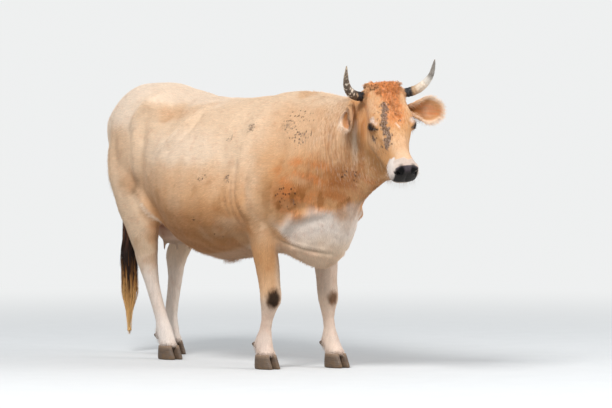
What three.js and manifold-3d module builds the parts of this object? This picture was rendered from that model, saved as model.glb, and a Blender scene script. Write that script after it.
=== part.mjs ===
// A standing horned dairy cow, life size, as closed solids that meet at thin cuts.
// Millimetres, +Z up, ground at z = 0. The cow faces -Y and its left side is +X.
import * as THREE from 'three';
import { LoftGeometry } from 'three/addons/geometries/LoftGeometry.js';
import { mergeVertices } from 'three/addons/utils/BufferGeometryUtils.js';
import Module from 'manifold-3d';

const wasm = await Module();
wasm.setup();

// ---------------------------------------------------------------- driving sizes
const GAP = 0.3;                 // clearance between neighbouring pieces
const FINEST = 2;                // ripples of the joined body lower than this are smoothed away
const LEFT = 1;
const RIGHT = -1;

// A point given as the cow's forward, its left side and up.
const at = (forward, side, up) => new THREE.Vector3(side, -forward, up);

const POLL = { forward: 1135, side: -4, up: 1282 };   // top of the skull between the horns
const HEAD_PITCH = 49;           // degrees the face slopes below the horizontal
const HEAD_YAW = 16;             // degrees the head turns to the cow's right
const HEAD_ROLL = 4;             // degrees the left side of the head is higher
const NECK_BEND = { start: 600, end: 1150, shift: 18 };  // the neck bows a little to the right

const EYE = { along: 188, side: 90, below: 40, radius: 21.5 };
// Points of a horn as forward of the poll, out to the side and up, and its radii from root to tip.
// The spread is how much further out than these its tip stands on each side.
const HORN = {
  path: [
    [-10, 78, -32], [-14, 116, -31], [6, 160, -17], [30, 192, 12],
    [52, 208, 46], [66, 213, 82], [76, 215, 112],
  ],
  radii: [[20], [21.5], [22], [20.5], [17.5], [13], [9], [3]],
  spread: { left: 9, right: -14 },
};
// An ear's length, half widths of its leaf from root to tip, and how thick it is at both ends.
const EAR = {
  length: 196,
  leaf: [[26], [32], [42], [54], [62], [66], [65], [58], [44], [24]],
  thickness: [9, 7],
};
const HOOF = { height: 66, halfLength: 50, halfWidth: 23, split: 5, toe: 14 };
const DEWCLAW = { up: 106, side: 19, back: -7, radius: 13, tip: 7, length: 30, lean: 48 };
const TAIL = { joints: [1040, 870], end: 640, switchTop: 700, switchEnd: 86 };

const UDDER = {
  place: at(-420, 0, 612),
  reach: new THREE.Vector3(84, 125, 86),
  teat: { radius: 12, tip: 8, length: 60, side: 38, spread: 48, drop: 88 },
};

// Where the neck leaves the trunk and the head leaves the neck: a point of the cut and its tilt.
const NECK_CUT = { forward: 730, up: 900, tilt: -14 };
const HEAD_CUT = { forward: 1030, up: 1060, tilt: -30 };
// Where a leg leaves the body: its inner side, the reach and top of the box around its foot,
// the reach of its upper part, and the roof as height inside, side outside and height there.
const LEG_CUTS = {
  fore: { inner: 100, foot: [300, 760, 515], thigh: [330, 600], roof: [560, 250, 740] },
  hind: { inner: 97, foot: [-840, -230, 450], thigh: [-840, -305], roof: [655, 260, 800] },
};

const PAINT = {
  coat: { color: 0xc89464, roughness: 0.85 },
  pale_coat: { color: 0xd9c3ae, roughness: 0.85 },
  horn: { color: 0xb9ab93, roughness: 0.45 },
  hoof: { color: 0x4a4038, roughness: 0.6 },
  eye: { color: 0x1c1410, roughness: 0.1 },
  tail_hair: { color: 0x4b2d20, roughness: 0.8 },
};

// ---------------------------------------------------------------- small helpers
const radians = THREE.MathUtils.degToRad;
const smooth = THREE.MathUtils.smoothstep;

// Catmull-Rom between the rows of a table, each row an array of numbers.
function rowBetween(rows, position) {
  const i = Math.min(Math.floor(position), rows.length - 2);
  const t = position - i;
  const before = rows[Math.max(i - 1, 0)];
  const after = rows[Math.min(i + 2, rows.length - 1)];
  return rows[i].map((p1, k) => {
    const p0 = before[k];
    const p2 = rows[i + 1][k];
    const p3 = after[k];
    return 0.5 * (2 * p1 + (p2 - p0) * t + (2 * p0 - 5 * p1 + 4 * p2 - p3) * t * t
      + (3 * p1 - p0 - 3 * p2 + p3) * t * t * t);
  });
}

const stations = (rows, count) => Array.from({ length: count },
  (_, i) => rowBetween(rows, i * (rows.length - 1) / (count - 1)));

// Half of a closed section, from its top (0) round the side to its bottom (1):
// how far down it is, and how wide, both as shares.
function outline(share, widest, upper, lower) {
  const angle = share * Math.PI;
  const power = 2 / (share < 0.5 ? upper : lower);
  const height = Math.abs(Math.cos(angle)) ** power;
  const down = share < 0.5 ? widest * (1 - height) : widest + (1 - widest) * height;
  return { down, wide: Math.sin(angle) ** power };
}

// A ring of points between a top and a bottom point, symmetric about the X = 0 plane.
function ring(top, bottom, halfWidth, widest, upper, lower, half) {
  const points = [];
  for (let k = 0; k < 2 * half; k++) {
    const side = k < half ? LEFT : RIGHT;
    const share = (k < half ? k : 2 * half - k) / half;
    const { down, wide } = outline(share, widest, upper, lower);
    points.push(new THREE.Vector3().lerpVectors(top, bottom, down).setX(side * wide * halfWidth));
  }
  return points;
}

function solidOf(geometry) {
  const bare = new THREE.BufferGeometry().copy(geometry);
  bare.deleteAttribute('normal');
  bare.deleteAttribute('uv');
  const merged = mergeVertices(bare, 1e-3);
  return new wasm.Manifold(new wasm.Mesh({
    numProp: 3,
    vertProperties: merged.attributes.position.array,
    triVerts: new Uint32Array(merged.index.array),
  }));
}

// The direction a ring faces by the right-hand rule.
function facing(points) {
  const normal = new THREE.Vector3();
  points.forEach((point, i) => {
    normal.add(point.clone().cross(points[(i + 1) % points.length]));
  });
  return normal;
}

function centreOf(points) {
  const sum = new THREE.Vector3();
  for (const point of points) sum.add(point);
  return sum.divideScalar(points.length);
}

// A capped skin through rings, each turned to face along the loft.
function loft(sections) {
  const last = sections.length - 1;
  const along = centreOf(sections[last]).sub(centreOf(sections[0]));
  const middle = sections[Math.floor(last / 2)];
  const turned = facing(middle).dot(along) > 0 ? sections : sections.map((points) => [...points].reverse());
  return solidOf(new LoftGeometry(turned, { capStart: true, capEnd: true }));
}

const moved = (geometry, matrix) => solidOf(geometry.applyMatrix4(matrix));
const join = (solids) => solids.reduce((all, next) => all.add(next));

function geometryOf(solid) {
  const mesh = solid.getMesh();
  const points = new Float32Array(mesh.numVert * 3);
  for (let i = 0; i < mesh.numVert; i++) {
    points.set(mesh.vertProperties.subarray(i * mesh.numProp, i * mesh.numProp + 3), i * 3);
  }
  const geometry = new THREE.BufferGeometry();
  geometry.setAttribute('position', new THREE.BufferAttribute(points, 3));
  geometry.setIndex(new THREE.BufferAttribute(mesh.triVerts, 1));
  geometry.computeVertexNormals();
  return geometry;
}

// ---------------------------------------------------------------- trunk and neck
// Each row: back line forward and up, belly line forward and up, half width,
// level of the widest point (0 back, 1 belly), fullness above it and below it.
const TRUNK_ROWS = [
  [-812, 1098, -806, 1030, 50, 0.50, 2.0, 2.0],    // rear face between the pin bones
  [-792, 1160, -782, 945, 138, 0.46, 2.1, 2.1],    // pin bones
  [-732, 1234, -712, 832, 186, 0.46, 2.3, 2.3],    // tail head
  [-615, 1294, -582, 730, 228, 0.46, 2.6, 2.4],    // hip joints
  [-480, 1302, -432, 640, 254, 0.42, 2.5, 2.2],    // sacrum
  [-352, 1275, -290, 566, 280, 0.44, 2.4, 2.1],    // hip bones
  [-236, 1251, -155, 510, 316, 0.52, 2.3, 2.2],    // flank
  [-110, 1240, -10, 482, 345, 0.56, 2.2, 2.2],     // loin
  [60, 1235, 125, 486, 350, 0.57, 2.1, 2.2],       // middle of the barrel
  [225, 1239, 270, 505, 328, 0.58, 2.0, 2.1],      // ribs
  [350, 1250, 400, 524, 288, 0.57, 1.8, 2.0],      // girth
  [455, 1267, 530, 500, 262, 0.52, 1.6, 1.9],      // withers
  [565, 1272, 655, 458, 250, 0.48, 1.5, 1.7],      // shoulders
  [670, 1267, 766, 470, 224, 0.46, 1.6, 1.6],      // brisket
  [775, 1255, 848, 552, 180, 0.45, 1.8, 1.5],      // foot of the neck
  [865, 1244, 905, 645, 142, 0.43, 1.9, 1.4],      // middle of the neck
  [950, 1244, 972, 735, 120, 0.40, 2.0, 1.35],     // dewlap
  [1030, 1258, 1082, 810, 102, 0.38, 2.0, 1.4],    // throat
  [1092, 1264, 1184, 858, 78, 0.40, 2.0, 1.5],     // under the jaw
  [1138, 1240, 1262, 886, 46, 0.40, 2.0, 1.6],
  [1150, 1200, 1290, 920, 20, 0.40, 2.0, 1.8],     // inside the head
];

// Reliefs of the body: place, reach along each axis, and push outward, forward and up.
const TRUNK_RELIEF = [
  { name: 'hip bone', place: at(-305, 255, 1215), reach: [85, 85, 70], push: [26, 0, 6] },
  { name: 'pin bone', place: at(-775, 105, 1110), reach: [50, 55, 60], push: [10, -10, 0] },
  { name: 'flank hollow', place: at(-165, 260, 1125), reach: [95, 110, 100], push: [-32, 0, 0] },
  { name: 'behind the hip', place: at(-470, 240, 1180), reach: [90, 100, 70], push: [-14, 0, 0] },
  { name: 'thigh', place: at(-530, 235, 900), reach: [150, 170, 190], push: [16, 0, 0] },
  { name: 'rear of the barrel', place: at(-250, 300, 690), reach: [120, 110, 90], push: [-12, 0, 0] },
  { name: 'barrel', place: at(70, 345, 800), reach: [220, 230, 190], push: [12, 0, 0] },
  { name: 'shoulder blade', place: at(440, 235, 1010), reach: [120, 120, 210], push: [16, 0, 0] },
  { name: 'point of the shoulder', place: at(655, 205, 790), reach: [95, 85, 100], push: [26, 10, 0] },
  { name: 'behind the shoulder', place: at(300, 300, 900), reach: [70, 65, 190], push: [-14, 0, 0] },
  { name: 'arm muscle', place: at(480, 240, 760), reach: [100, 100, 95], push: [16, 0, 0] },
  { name: 'hollow of the neck', place: at(720, 150, 960), reach: [90, 90, 110], push: [-18, 0, 0] },
  { name: 'side of the brisket', place: at(700, 120, 560), reach: [90, 80, 75], push: [16, 0, 0] },
  { name: 'navel fold', place: at(-60, 0, 480), reach: [40, 75, 60], push: [0, 0, -8] },
];

function relieve(points, reliefs) {
  return points.map((point) => {
    const pushed = point.clone();
    for (const { place, reach, push } of reliefs) {
      for (const side of [LEFT, RIGHT]) {
        const offset = new THREE.Vector3(side * place.x, place.y, place.z).sub(point);
        const distance = offset.divide(new THREE.Vector3(...reach)).lengthSq();
        pushed.addScaledVector(at(push[1], side * push[0], push[2]), Math.exp(-distance));
      }
    }
    return pushed;
  });
}

// The neck bows sideways, more and more towards the head.
function bowed(point) {
  const share = smooth(-point.y, NECK_BEND.start, NECK_BEND.end);
  return point.clone().setX(point.x - NECK_BEND.shift * share);
}

function trunkSolid() {
  const sections = stations(TRUNK_ROWS, 31).map(([topF, topZ, lowF, lowZ, width, widest, upper, lower]) => {
    const points = ring(at(topF, 0, topZ), at(lowF, 0, lowZ), width, widest, upper, lower, 15);
    return relieve(points, TRUNK_RELIEF).map(bowed);
  });
  return loft(sections);
}

// ---------------------------------------------------------------- legs
// Each row: height, forward, side, half length and half width.
const FORELEG_ROWS = {
  right: [
    [900, 470, 140, 110, 60], [800, 464, 160, 120, 72], [710, 458, 172, 112, 73],
    [620, 462, 170, 92, 62], [540, 476, 164, 78, 55], [470, 488, 158, 71, 51],
    [400, 497, 154, 62, 48], [345, 503, 151, 54, 50], [305, 502, 150, 51, 48],
    [262, 488, 150, 39, 36], [225, 478, 151, 31, 29], [180, 466, 152, 33, 29],
    [145, 457, 153, 43, 36], [116, 456, 154, 47, 42], [92, 464, 155, 44, 43],
    [66, 477, 156, 51, 47],
  ],
  left: [
    [900, 470, 140, 110, 60], [800, 470, 160, 120, 72], [710, 472, 172, 112, 73],
    [620, 486, 170, 92, 62], [540, 504, 164, 76, 55], [470, 518, 158, 69, 50],
    [400, 529, 153, 59, 46], [345, 538, 150, 52, 49], [305, 543, 150, 49, 47],
    [262, 543, 150, 38, 36], [225, 546, 150, 31, 29], [180, 553, 151, 33, 29],
    [145, 556, 152, 43, 36], [116, 562, 153, 47, 42], [92, 578, 154, 44, 43],
    [66, 595, 155, 51, 47],
  ],
};
const HINDLEG_ROWS = {
  right: [
    [1080, -575, 120, 90, 40], [1000, -590, 163, 150, 66], [925, -575, 168, 154, 71],
    [850, -536, 174, 162, 79], [770, -500, 182, 158, 78], [700, -472, 182, 148, 72],
    [630, -452, 178, 124, 64], [560, -452, 170, 96, 52], [500, -446, 161, 80, 43],
    [455, -444, 156, 70, 41], [410, -434, 151, 56, 38], [360, -422, 146, 45, 34],
    [300, -405, 140, 41, 31], [240, -384, 134, 40, 30], [185, -363, 129, 41, 31],
    [148, -351, 127, 47, 37], [116, -342, 124, 49, 42], [92, -330, 122, 45, 43],
    [66, -318, 121, 52, 47],
  ],
  left: [
    [1080, -575, 120, 90, 40], [1000, -590, 163, 150, 66], [925, -575, 168, 154, 71],
    [850, -546, 174, 162, 79], [770, -526, 180, 160, 76], [700, -520, 174, 144, 70],
    [630, -535, 164, 118, 60], [560, -565, 152, 94, 50], [500, -594, 143, 84, 44],
    [462, -610, 138, 74, 41], [420, -612, 134, 56, 38], [370, -610, 130, 45, 34],
    [305, -616, 125, 41, 31], [245, -622, 120, 40, 30], [185, -627, 115, 41, 31],
    [148, -628, 112, 47, 37], [116, -623, 110, 49, 42], [92, -612, 108, 45, 43],
    [66, -601, 107, 52, 47],
  ],
};

const sideName = (side) => (side === LEFT ? 'left' : 'right');

// A level oval from a row of height, forward, side, half length and half width.
function ovalRing([up, forward, out, halfLength, halfWidth], side, count) {
  return Array.from({ length: count }, (_, k) => {
    const angle = (k / count) * 2 * Math.PI;
    return at(forward + halfLength * Math.cos(angle), side * out + halfWidth * Math.sin(angle), up);
  });
}

function legSolid(rows, side) {
  return loft(rows.map((row) => ovalRing(row, side, 13)));
}

// ---------------------------------------------------------------- head
// In its own frame the head looks along -Y with the poll at the origin.
// Each row: along from the poll, top, bottom, half width, widest level, fullness above and below.
const HEAD_ROWS = [
  [-88, -134, -184, 40, 0.50, 2.0, 2.0],   // behind the skull
  [-60, -64, -208, 74, 0.45, 2.1, 2.0],
  [-22, 8, -224, 92, 0.38, 2.3, 1.9],    // nape
  [18, 34, -234, 98, 0.31, 2.6, 1.9],      // poll and horn line
  [70, 29, -244, 96, 0.29, 2.9, 1.8],      // forehead
  [125, 14, -252, 98, 0.27, 3.1, 1.8],     // brow
  [175, 2, -258, 99, 0.26, 3.3, 1.8],      // eyes
  [218, -7, -258, 90, 0.30, 2.8, 1.8],     // cheek
  [262, -14, -247, 74, 0.36, 2.4, 1.8],    // jaw
  [305, -18, -226, 61, 0.40, 2.3, 1.9],    // bridge of the nose
  [345, -20, -196, 53, 0.44, 2.3, 2.0],
  [380, -17, -166, 58, 0.50, 2.4, 2.3],    // lips
  [412, -16, -147, 66, 0.50, 2.6, 2.5],    // nostrils
  [438, -22, -136, 65, 0.48, 2.8, 2.6],
  [452, -38, -122, 51, 0.48, 2.6, 2.4],
  [459, -60, -100, 28, 0.50, 2.2, 2.2],    // tip of the muzzle
];
const HEAD_RELIEF = [
  { name: 'brow', place: at(158, 96, -14), reach: [36, 38, 28], push: [12, 0, 3] },
  { name: 'cheek', place: at(200, 86, -150), reach: [45, 72, 62], push: [10, 0, 0] },
  { name: 'temple', place: at(90, 94, -80), reach: [36, 46, 36], push: [-8, 0, 0] },
  { name: 'below the eye', place: at(250, 80, -66), reach: [36, 50, 34], push: [-5, 0, 0] },
];
const NOSTRIL = { along: 444, side: 42, below: 58, radius: 13, depth: 26 };

function headFlesh() {
  const sections = stations(HEAD_ROWS, 23).map(([along, top, low, width, widest, upper, lower]) => {
    const points = ring(at(along, 0, top), at(along, 0, low), width, widest, upper, lower, 10);
    return relieve(points, HEAD_RELIEF);
  });
  return loft(sections);
}

function nostril(side) {
  const hole = new THREE.SphereGeometry(NOSTRIL.radius, 10, 8);
  const place = new THREE.Matrix4().compose(at(NOSTRIL.along, side * NOSTRIL.side, -NOSTRIL.below),
    new THREE.Quaternion().setFromEuler(new THREE.Euler(0, 0, side * radians(-35))),
    new THREE.Vector3(0.75, NOSTRIL.depth / NOSTRIL.radius, 1));
  return moved(hole, place);
}

const eyePlace = (side) => at(EYE.along, side * EYE.side, -EYE.below);

function ball(radius, place) {
  const sphere = new THREE.SphereGeometry(radius, 12, 7);
  return moved(sphere, new THREE.Matrix4().setPosition(place));
}

// A horn grows sideways out of the skull, then turns forward and up.
function hornSolid(side, grow = 0) {
  const spread = HORN.spread[sideName(side)] / (HORN.path.length - 1);
  const points = HORN.path.map(([forward, out, up], i) => at(forward, side * (out + i * spread), up));
  const path = new THREE.CatmullRomCurve3(points);
  const radiusAt = (share) => grow + rowBetween(HORN.radii, share * (HORN.radii.length - 1))[0];
  return tube(path, radiusAt, 11, 9);
}

// A round tube whose radius follows the share of its length.
function tube(path, radiusAt, stepsAlong, around) {
  const frames = path.computeFrenetFrames(stepsAlong, false);
  const sections = [];
  for (let i = 0; i <= stepsAlong; i++) {
    const centre = path.getPointAt(i / stepsAlong);
    const radius = radiusAt(i / stepsAlong);
    const points = [];
    for (let k = 0; k < around; k++) {
      const angle = (k / around) * 2 * Math.PI;
      points.push(centre.clone()
        .addScaledVector(frames.normals[i], radius * Math.cos(angle))
        .addScaledVector(frames.binormals[i], radius * Math.sin(angle)));
    }
    sections.push(points);
  }
  return loft(sections);
}

// The stance of each ear: its root from the poll, the directions of its length and of its hollow
// side, all as forward, out to the side and up, how long it is and how tightly it curls at its
// root and its tip.
const EAR_STANCE = {
  left: {
    root: [-34, 84, -105], length: [0.24, 0.97, -0.10], hollow: [0.95, -0.22, 0.16],
    reach: 1, curl: [2.1, 0.75],
  },
  right: {
    root: [-86, 110, -64], length: [0.66, 0.40, -0.58], hollow: [0.20, 0.95, 0.10],
    reach: 0.9, curl: [2.3, 1.55],
  },
};

// A leaf that is rolled to a tube at its root and opens towards its tip.
function earSolid(side) {
  const { root, length, hollow, reach, curl } = EAR_STANCE[sideName(side)];
  const along = at(length[0], side * length[1], length[2]).normalize();
  const open = at(hollow[0], side * hollow[1], hollow[2]);
  open.addScaledVector(along, -open.dot(along)).normalize();
  const across = new THREE.Vector3().crossVectors(along, open);
  const start = at(root[0], side * root[1], root[2]);
  const lengths = 8;
  const points = 6;
  const sections = [];
  for (let i = 0; i <= lengths; i++) {
    const share = i / lengths;
    const half = rowBetween(EAR.leaf, share * (EAR.leaf.length - 1))[0];
    const bend = THREE.MathUtils.lerp(curl[0], curl[1], smooth(share, 0, 0.75));
    const thickness = THREE.MathUtils.lerp(EAR.thickness[0], EAR.thickness[1], share);
    const centre = start.clone().addScaledVector(along, share * reach * EAR.length);
    const faces = [-0.5, 0.5].map((layer) => Array.from({ length: points + 1 }, (_, k) => {
      const angle = bend * (2 * k / points - 1);
      const radius = half / bend + layer * thickness;
      return centre.clone()
        .addScaledVector(across, radius * Math.sin(angle))
        .addScaledVector(open, half / bend - radius * Math.cos(angle));
    }));
    sections.push([...faces[0], ...faces[1].reverse()]);
  }
  return loft(sections);
}

const HEAD_MATRIX = new THREE.Matrix4().setPosition(at(POLL.forward, POLL.side, POLL.up))
  .multiply(new THREE.Matrix4().makeRotationZ(radians(-HEAD_YAW)))
  .multiply(new THREE.Matrix4().makeRotationX(radians(HEAD_PITCH)))
  .multiply(new THREE.Matrix4().makeRotationY(radians(-HEAD_ROLL)));
// The same place without the slope of the face, for what stands up from the skull.
const LEVEL_MATRIX = new THREE.Matrix4().setPosition(at(POLL.forward, POLL.side, POLL.up))
  .multiply(new THREE.Matrix4().makeRotationZ(radians(-HEAD_YAW)))
  .multiply(new THREE.Matrix4().makeRotationY(radians(-HEAD_ROLL)));
const onHead = (solid) => solid.transform(HEAD_MATRIX.elements);
const onSkull = (solid) => solid.transform(LEVEL_MATRIX.elements);

// ---------------------------------------------------------------- hooves
// One of the two claws of a foot: round at the heel, drawn in towards the toe, flat inside.
function clawSolid(footRow, side, inner) {
  const [, forward, out] = footRow;
  const middle = side * out + inner * (HOOF.halfWidth + HOOF.split / 2);
  const levels = [
    [0, HOOF.halfLength + 10, 1.02, HOOF.toe],
    [14, HOOF.halfLength + 9, 1.04, HOOF.toe - 3],
    [40, HOOF.halfLength + 1, 0.99, HOOF.toe * 0.35],
    [HOOF.height - GAP, HOOF.halfLength - 7, 0.90, 0],
  ];
  const sections = levels.map(([up, halfLength, wide, shift]) => Array.from({ length: 12 }, (_, k) => {
    const angle = (k / 12) * 2 * Math.PI;
    const ahead = Math.cos(angle);
    const toe = Math.max(0, ahead);
    const aside = Math.sin(angle) * wide * HOOF.halfWidth * (1 - 0.28 * toe ** 2);
    const flat = aside * inner < 0 ? 0.9 : 1;
    return at(forward + shift + halfLength * ahead, middle + flat * aside - inner * 5 * toe, up);
  }));
  return loft(sections);
}

// A blunt cone that hangs behind the fetlock.
function dewclawSolid(rows, side, inner) {
  const [, forward, out, halfLength] = rows.find(([up]) => up === 116);
  const cone = new THREE.CylinderGeometry(DEWCLAW.radius, DEWCLAW.tip, DEWCLAW.length, 8);
  const lean = new THREE.Quaternion().setFromEuler(new THREE.Euler(radians(DEWCLAW.lean), 0, 0));
  const centre = at(forward - halfLength - DEWCLAW.back, side * out + inner * DEWCLAW.side, DEWCLAW.up);
  return moved(cone, new THREE.Matrix4().compose(centre, lean, new THREE.Vector3(1, 1, 1)));
}

// ---------------------------------------------------------------- tail and udder
function tailSolid() {
  const path = new THREE.CatmullRomCurve3([
    at(-700, 0, 1190), at(-760, 0, 1190), at(-812, -2, 1145), at(-836, -4, 1065), at(-842, -6, 960),
    at(-838, -8, 850), at(-826, -8, 740), at(-816, -8, TAIL.end),
  ]);
  return tube(path, (t) => THREE.MathUtils.lerp(34, 13, Math.min(1, t * 1.5)), 13, 9);
}

// Each row: height, forward, side, half length, half width of the hair at the end of the tail.
const SWITCH_ROWS = [
  [TAIL.switchTop, -820, -4, 19, 19], [640, -818, -1, 26, 28], [560, -816, 2, 37, 40],
  [480, -814, 4, 42, 46], [400, -812, 5, 44, 47], [330, -810, 5, 41, 44],
  [280, -808, 4, 34, 37], [238, -808, 2, 23, 25], [198, -808, 1, 13, 14],
  [140, -808, 0, 8, 8], [TAIL.switchEnd, -807, 0, 4, 4],
];

function switchSolid() {
  return loft(SWITCH_ROWS.map((row) => ovalRing(row, LEFT, 10)));
}

function udderSolid() {
  const { place, reach, teat } = UDDER;
  const bag = new THREE.SphereGeometry(1, 12, 7);
  const parts = [moved(bag, new THREE.Matrix4().compose(place, new THREE.Quaternion(), reach))];
  for (const side of [LEFT, RIGHT]) {
    for (const end of [LEFT, RIGHT]) {
      const rod = new THREE.CylinderGeometry(teat.radius, teat.tip, teat.length, 7);
      rod.rotateX(Math.PI / 2);
      const root = place.clone().add(at(end * teat.spread, side * teat.side, -teat.drop));
      parts.push(moved(rod, new THREE.Matrix4().setPosition(root)));
    }
  }
  return join(parts);
}

// ---------------------------------------------------------------- assembly
const cow = new THREE.Group();

function addMesh(name, solid, paint) {
  const material = new THREE.MeshStandardMaterial({ name: paint, metalness: 0, ...PAINT[paint] });
  const mesh = new THREE.Mesh(geometryOf(solid), material);
  mesh.name = name;
  cow.add(mesh);
}

// The part of space that belongs to a leg: a wide box around its lower part, and a narrower
// prism with a sloping roof where it joins the body.
function cutRegion(kind, side, grow) {
  const { inner, foot, thigh, roof } = LEG_CUTS[kind];
  const slope = (roof[2] - roof[0]) / (roof[1] - inner);
  const reach = 420;
  const profile = (heightInner, heightOuter) => new THREE.Shape([
    new THREE.Vector2(side * (inner - grow), -20),
    new THREE.Vector2(side * reach, -20),
    new THREE.Vector2(side * reach, heightOuter + grow),
    new THREE.Vector2(side * (inner - grow), heightInner + grow),
  ]);
  const block = (shape, [rear, front]) => {
    const depth = front - rear + 2 * grow;
    const box = new THREE.ExtrudeGeometry(shape, { depth, bevelEnabled: false });
    box.rotateX(Math.PI / 2);
    return solidOf(box.translate(0, depth - front - grow, 0));
  };
  const low = block(profile(foot[2], foot[2]), foot);
  return low.add(block(profile(roof[0], roof[0] + (reach - inner) * slope), thigh));
}

// A big box whose rear face is the plane between neck and head, or between trunk and neck.
function frontOf(forward, up, tilt, grow) {
  const size = 2400;
  const box = new THREE.BoxGeometry(size, size, size);
  const matrix = new THREE.Matrix4().setPosition(at(forward, 0, up))
    .multiply(new THREE.Matrix4().makeRotationX(radians(tilt)))
    .multiply(new THREE.Matrix4().setPosition(0, -size / 2 + grow, 0));
  return moved(box, matrix);
}

function build() {
  const trunk = trunkSolid();
  const legs = [];
  for (const side of [LEFT, RIGHT]) {
    legs.push(legSolid(FORELEG_ROWS[sideName(side)], side));
    legs.push(legSolid(HINDLEG_ROWS[sideName(side)], side));
  }
  const headBody = onHead(headFlesh().subtract(nostril(LEFT)).subtract(nostril(RIGHT)));
  const eyes = new Map([LEFT, RIGHT].map((side) => [side, onHead(ball(EYE.radius, eyePlace(side)))]));
  const sockets = [LEFT, RIGHT].map((side) => onHead(ball(EYE.radius + GAP, eyePlace(side))));
  const horns = new Map([LEFT, RIGHT].map((side) => [side, onSkull(hornSolid(side))]));
  const hornRoots = [LEFT, RIGHT].map((side) => onSkull(hornSolid(side, GAP)));
  const ears = new Map([LEFT, RIGHT].map((side) => [side, onSkull(earSolid(side))]));

  const neckFront = frontOf(NECK_CUT.forward, NECK_CUT.up, NECK_CUT.tilt, 0);
  const neckFrontGrown = frontOf(NECK_CUT.forward, NECK_CUT.up, NECK_CUT.tilt, GAP);
  const headFront = frontOf(HEAD_CUT.forward, HEAD_CUT.up, HEAD_CUT.tilt, 0);
  const headFrontGrown = frontOf(HEAD_CUT.forward, HEAD_CUT.up, HEAD_CUT.tilt, GAP);

  // Flesh as one body, without what sits in it.
  const whole = solidOf(geometryOf(join([trunk, ...legs, headBody]).simplify(FINEST)));
  const taken = join([...sockets, ...hornRoots]);
  const carved = whole.subtract(taken);

  const head = carved.intersect(headFront);
  const neckAndTrunk = carved.subtract(headFrontGrown);
  const neck = neckAndTrunk.intersect(neckFront);
  let body = neckAndTrunk.subtract(neckFrontGrown);

  addMesh('head', largest(head), 'coat');
  addMesh('neck', largest(neck), 'coat');
  for (const kind of ['fore', 'hind']) {
    for (const side of [LEFT, RIGHT]) {
      const leg = largest(body.intersect(cutRegion(kind, side, 0)));
      addMesh(kind + 'leg_' + sideName(side), leg, 'pale_coat');
    }
  }
  for (const kind of ['fore', 'hind']) {
    for (const side of [LEFT, RIGHT]) body = body.subtract(cutRegion(kind, side, GAP));
  }
  const trunkOnly = largest(body);
  addMesh('trunk', trunkOnly, 'coat');
  addMesh('udder', beside(udderSolid(), trunkOnly, new THREE.Vector3(0, 0, -1)), 'pale_coat');

  const hair = switchSolid();
  const dock = beside(tailSolid(), trunkOnly, new THREE.Vector3(0, 1, 0));
  const tail = beside(dock, hair, new THREE.Vector3(0, 0, 1));
  const [upper, lower] = TAIL.joints.map((up) => [up, up - GAP]);
  addMesh('tail_upper', tail.trimByPlane([0, 0, 1], upper[0]), 'coat');
  addMesh('tail_middle', tail.trimByPlane([0, 0, -1], -upper[1]).trimByPlane([0, 0, 1], lower[0]), 'coat');
  addMesh('tail_lower', tail.trimByPlane([0, 0, -1], -lower[1]), 'coat');
  addMesh('tail_switch', hair, 'tail_hair');

  for (const side of [LEFT, RIGHT]) {
    addMesh('ear_' + sideName(side), beside(ears.get(side), whole, new THREE.Vector3(side, 0, 0)), 'coat');
    addMesh('horn_' + sideName(side), horns.get(side), 'horn');
    addMesh('eye_' + sideName(side), eyes.get(side), 'eye');
    for (const [kind, table] of [['fore', FORELEG_ROWS], ['hind', HINDLEG_ROWS]]) {
      const rows = table[sideName(side)];
      for (const inner of [LEFT, RIGHT]) {
        const where = kind + '_' + sideName(side) + (inner === side ? '_outer' : '_inner');
        addMesh('claw_' + where, clawSolid(rows.at(-1), side, inner), 'hoof');
        const dewclaw = dewclawSolid(rows, side, inner);
        addMesh('dewclaw_' + where, beside(dewclaw, whole, new THREE.Vector3(0, 1, 0)), 'hoof');
      }
    }
  }
}

// What is left of a solid beside a neighbour, with the gap kept in the given direction.
function beside(solid, neighbour, direction) {
  const shift = direction.clone().setLength(GAP).toArray();
  return largest(solid.subtract(neighbour).subtract(neighbour.translate(shift)));
}

function largest(solid) {
  return solid.decompose().reduce((a, b) => (a.volume() > b.volume() ? a : b));
}

build();

// The middle of the footprint of the whole cow stands at the origin.
const middle = new THREE.Box3().setFromObject(cow).getCenter(new THREE.Vector3());
for (const mesh of cow.children) mesh.geometry.translate(-middle.x, -middle.y, 0);

export default cow;
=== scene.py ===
"""A standing horned dairy cow, life size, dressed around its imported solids.

Metres, in the frame of the solids: the cow faces -Y, its left side is +X, and it stands on z = 0.
"""

import bmesh
import bpy
import numpy as np
import openvdb
from mathutils import Matrix, Vector


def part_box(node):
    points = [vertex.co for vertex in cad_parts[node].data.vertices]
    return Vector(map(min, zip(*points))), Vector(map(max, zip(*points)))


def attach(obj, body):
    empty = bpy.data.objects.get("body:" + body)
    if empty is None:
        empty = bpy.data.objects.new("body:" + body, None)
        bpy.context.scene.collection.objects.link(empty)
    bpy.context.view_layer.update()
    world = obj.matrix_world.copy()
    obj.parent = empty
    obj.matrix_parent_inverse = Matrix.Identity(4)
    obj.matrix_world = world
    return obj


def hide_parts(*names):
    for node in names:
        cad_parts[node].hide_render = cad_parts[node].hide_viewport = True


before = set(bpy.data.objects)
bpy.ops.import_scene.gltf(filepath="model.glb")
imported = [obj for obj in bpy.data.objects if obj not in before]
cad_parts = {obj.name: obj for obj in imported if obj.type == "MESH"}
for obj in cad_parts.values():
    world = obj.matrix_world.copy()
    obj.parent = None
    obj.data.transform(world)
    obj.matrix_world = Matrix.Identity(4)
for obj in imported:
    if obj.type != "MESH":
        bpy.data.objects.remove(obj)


def clear_stage():
    """Takes away what a new file comes with."""
    for name in ("Cube", "Light", "Camera"):
        if name in bpy.data.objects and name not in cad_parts:
            bpy.data.objects.remove(bpy.data.objects[name])


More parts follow.
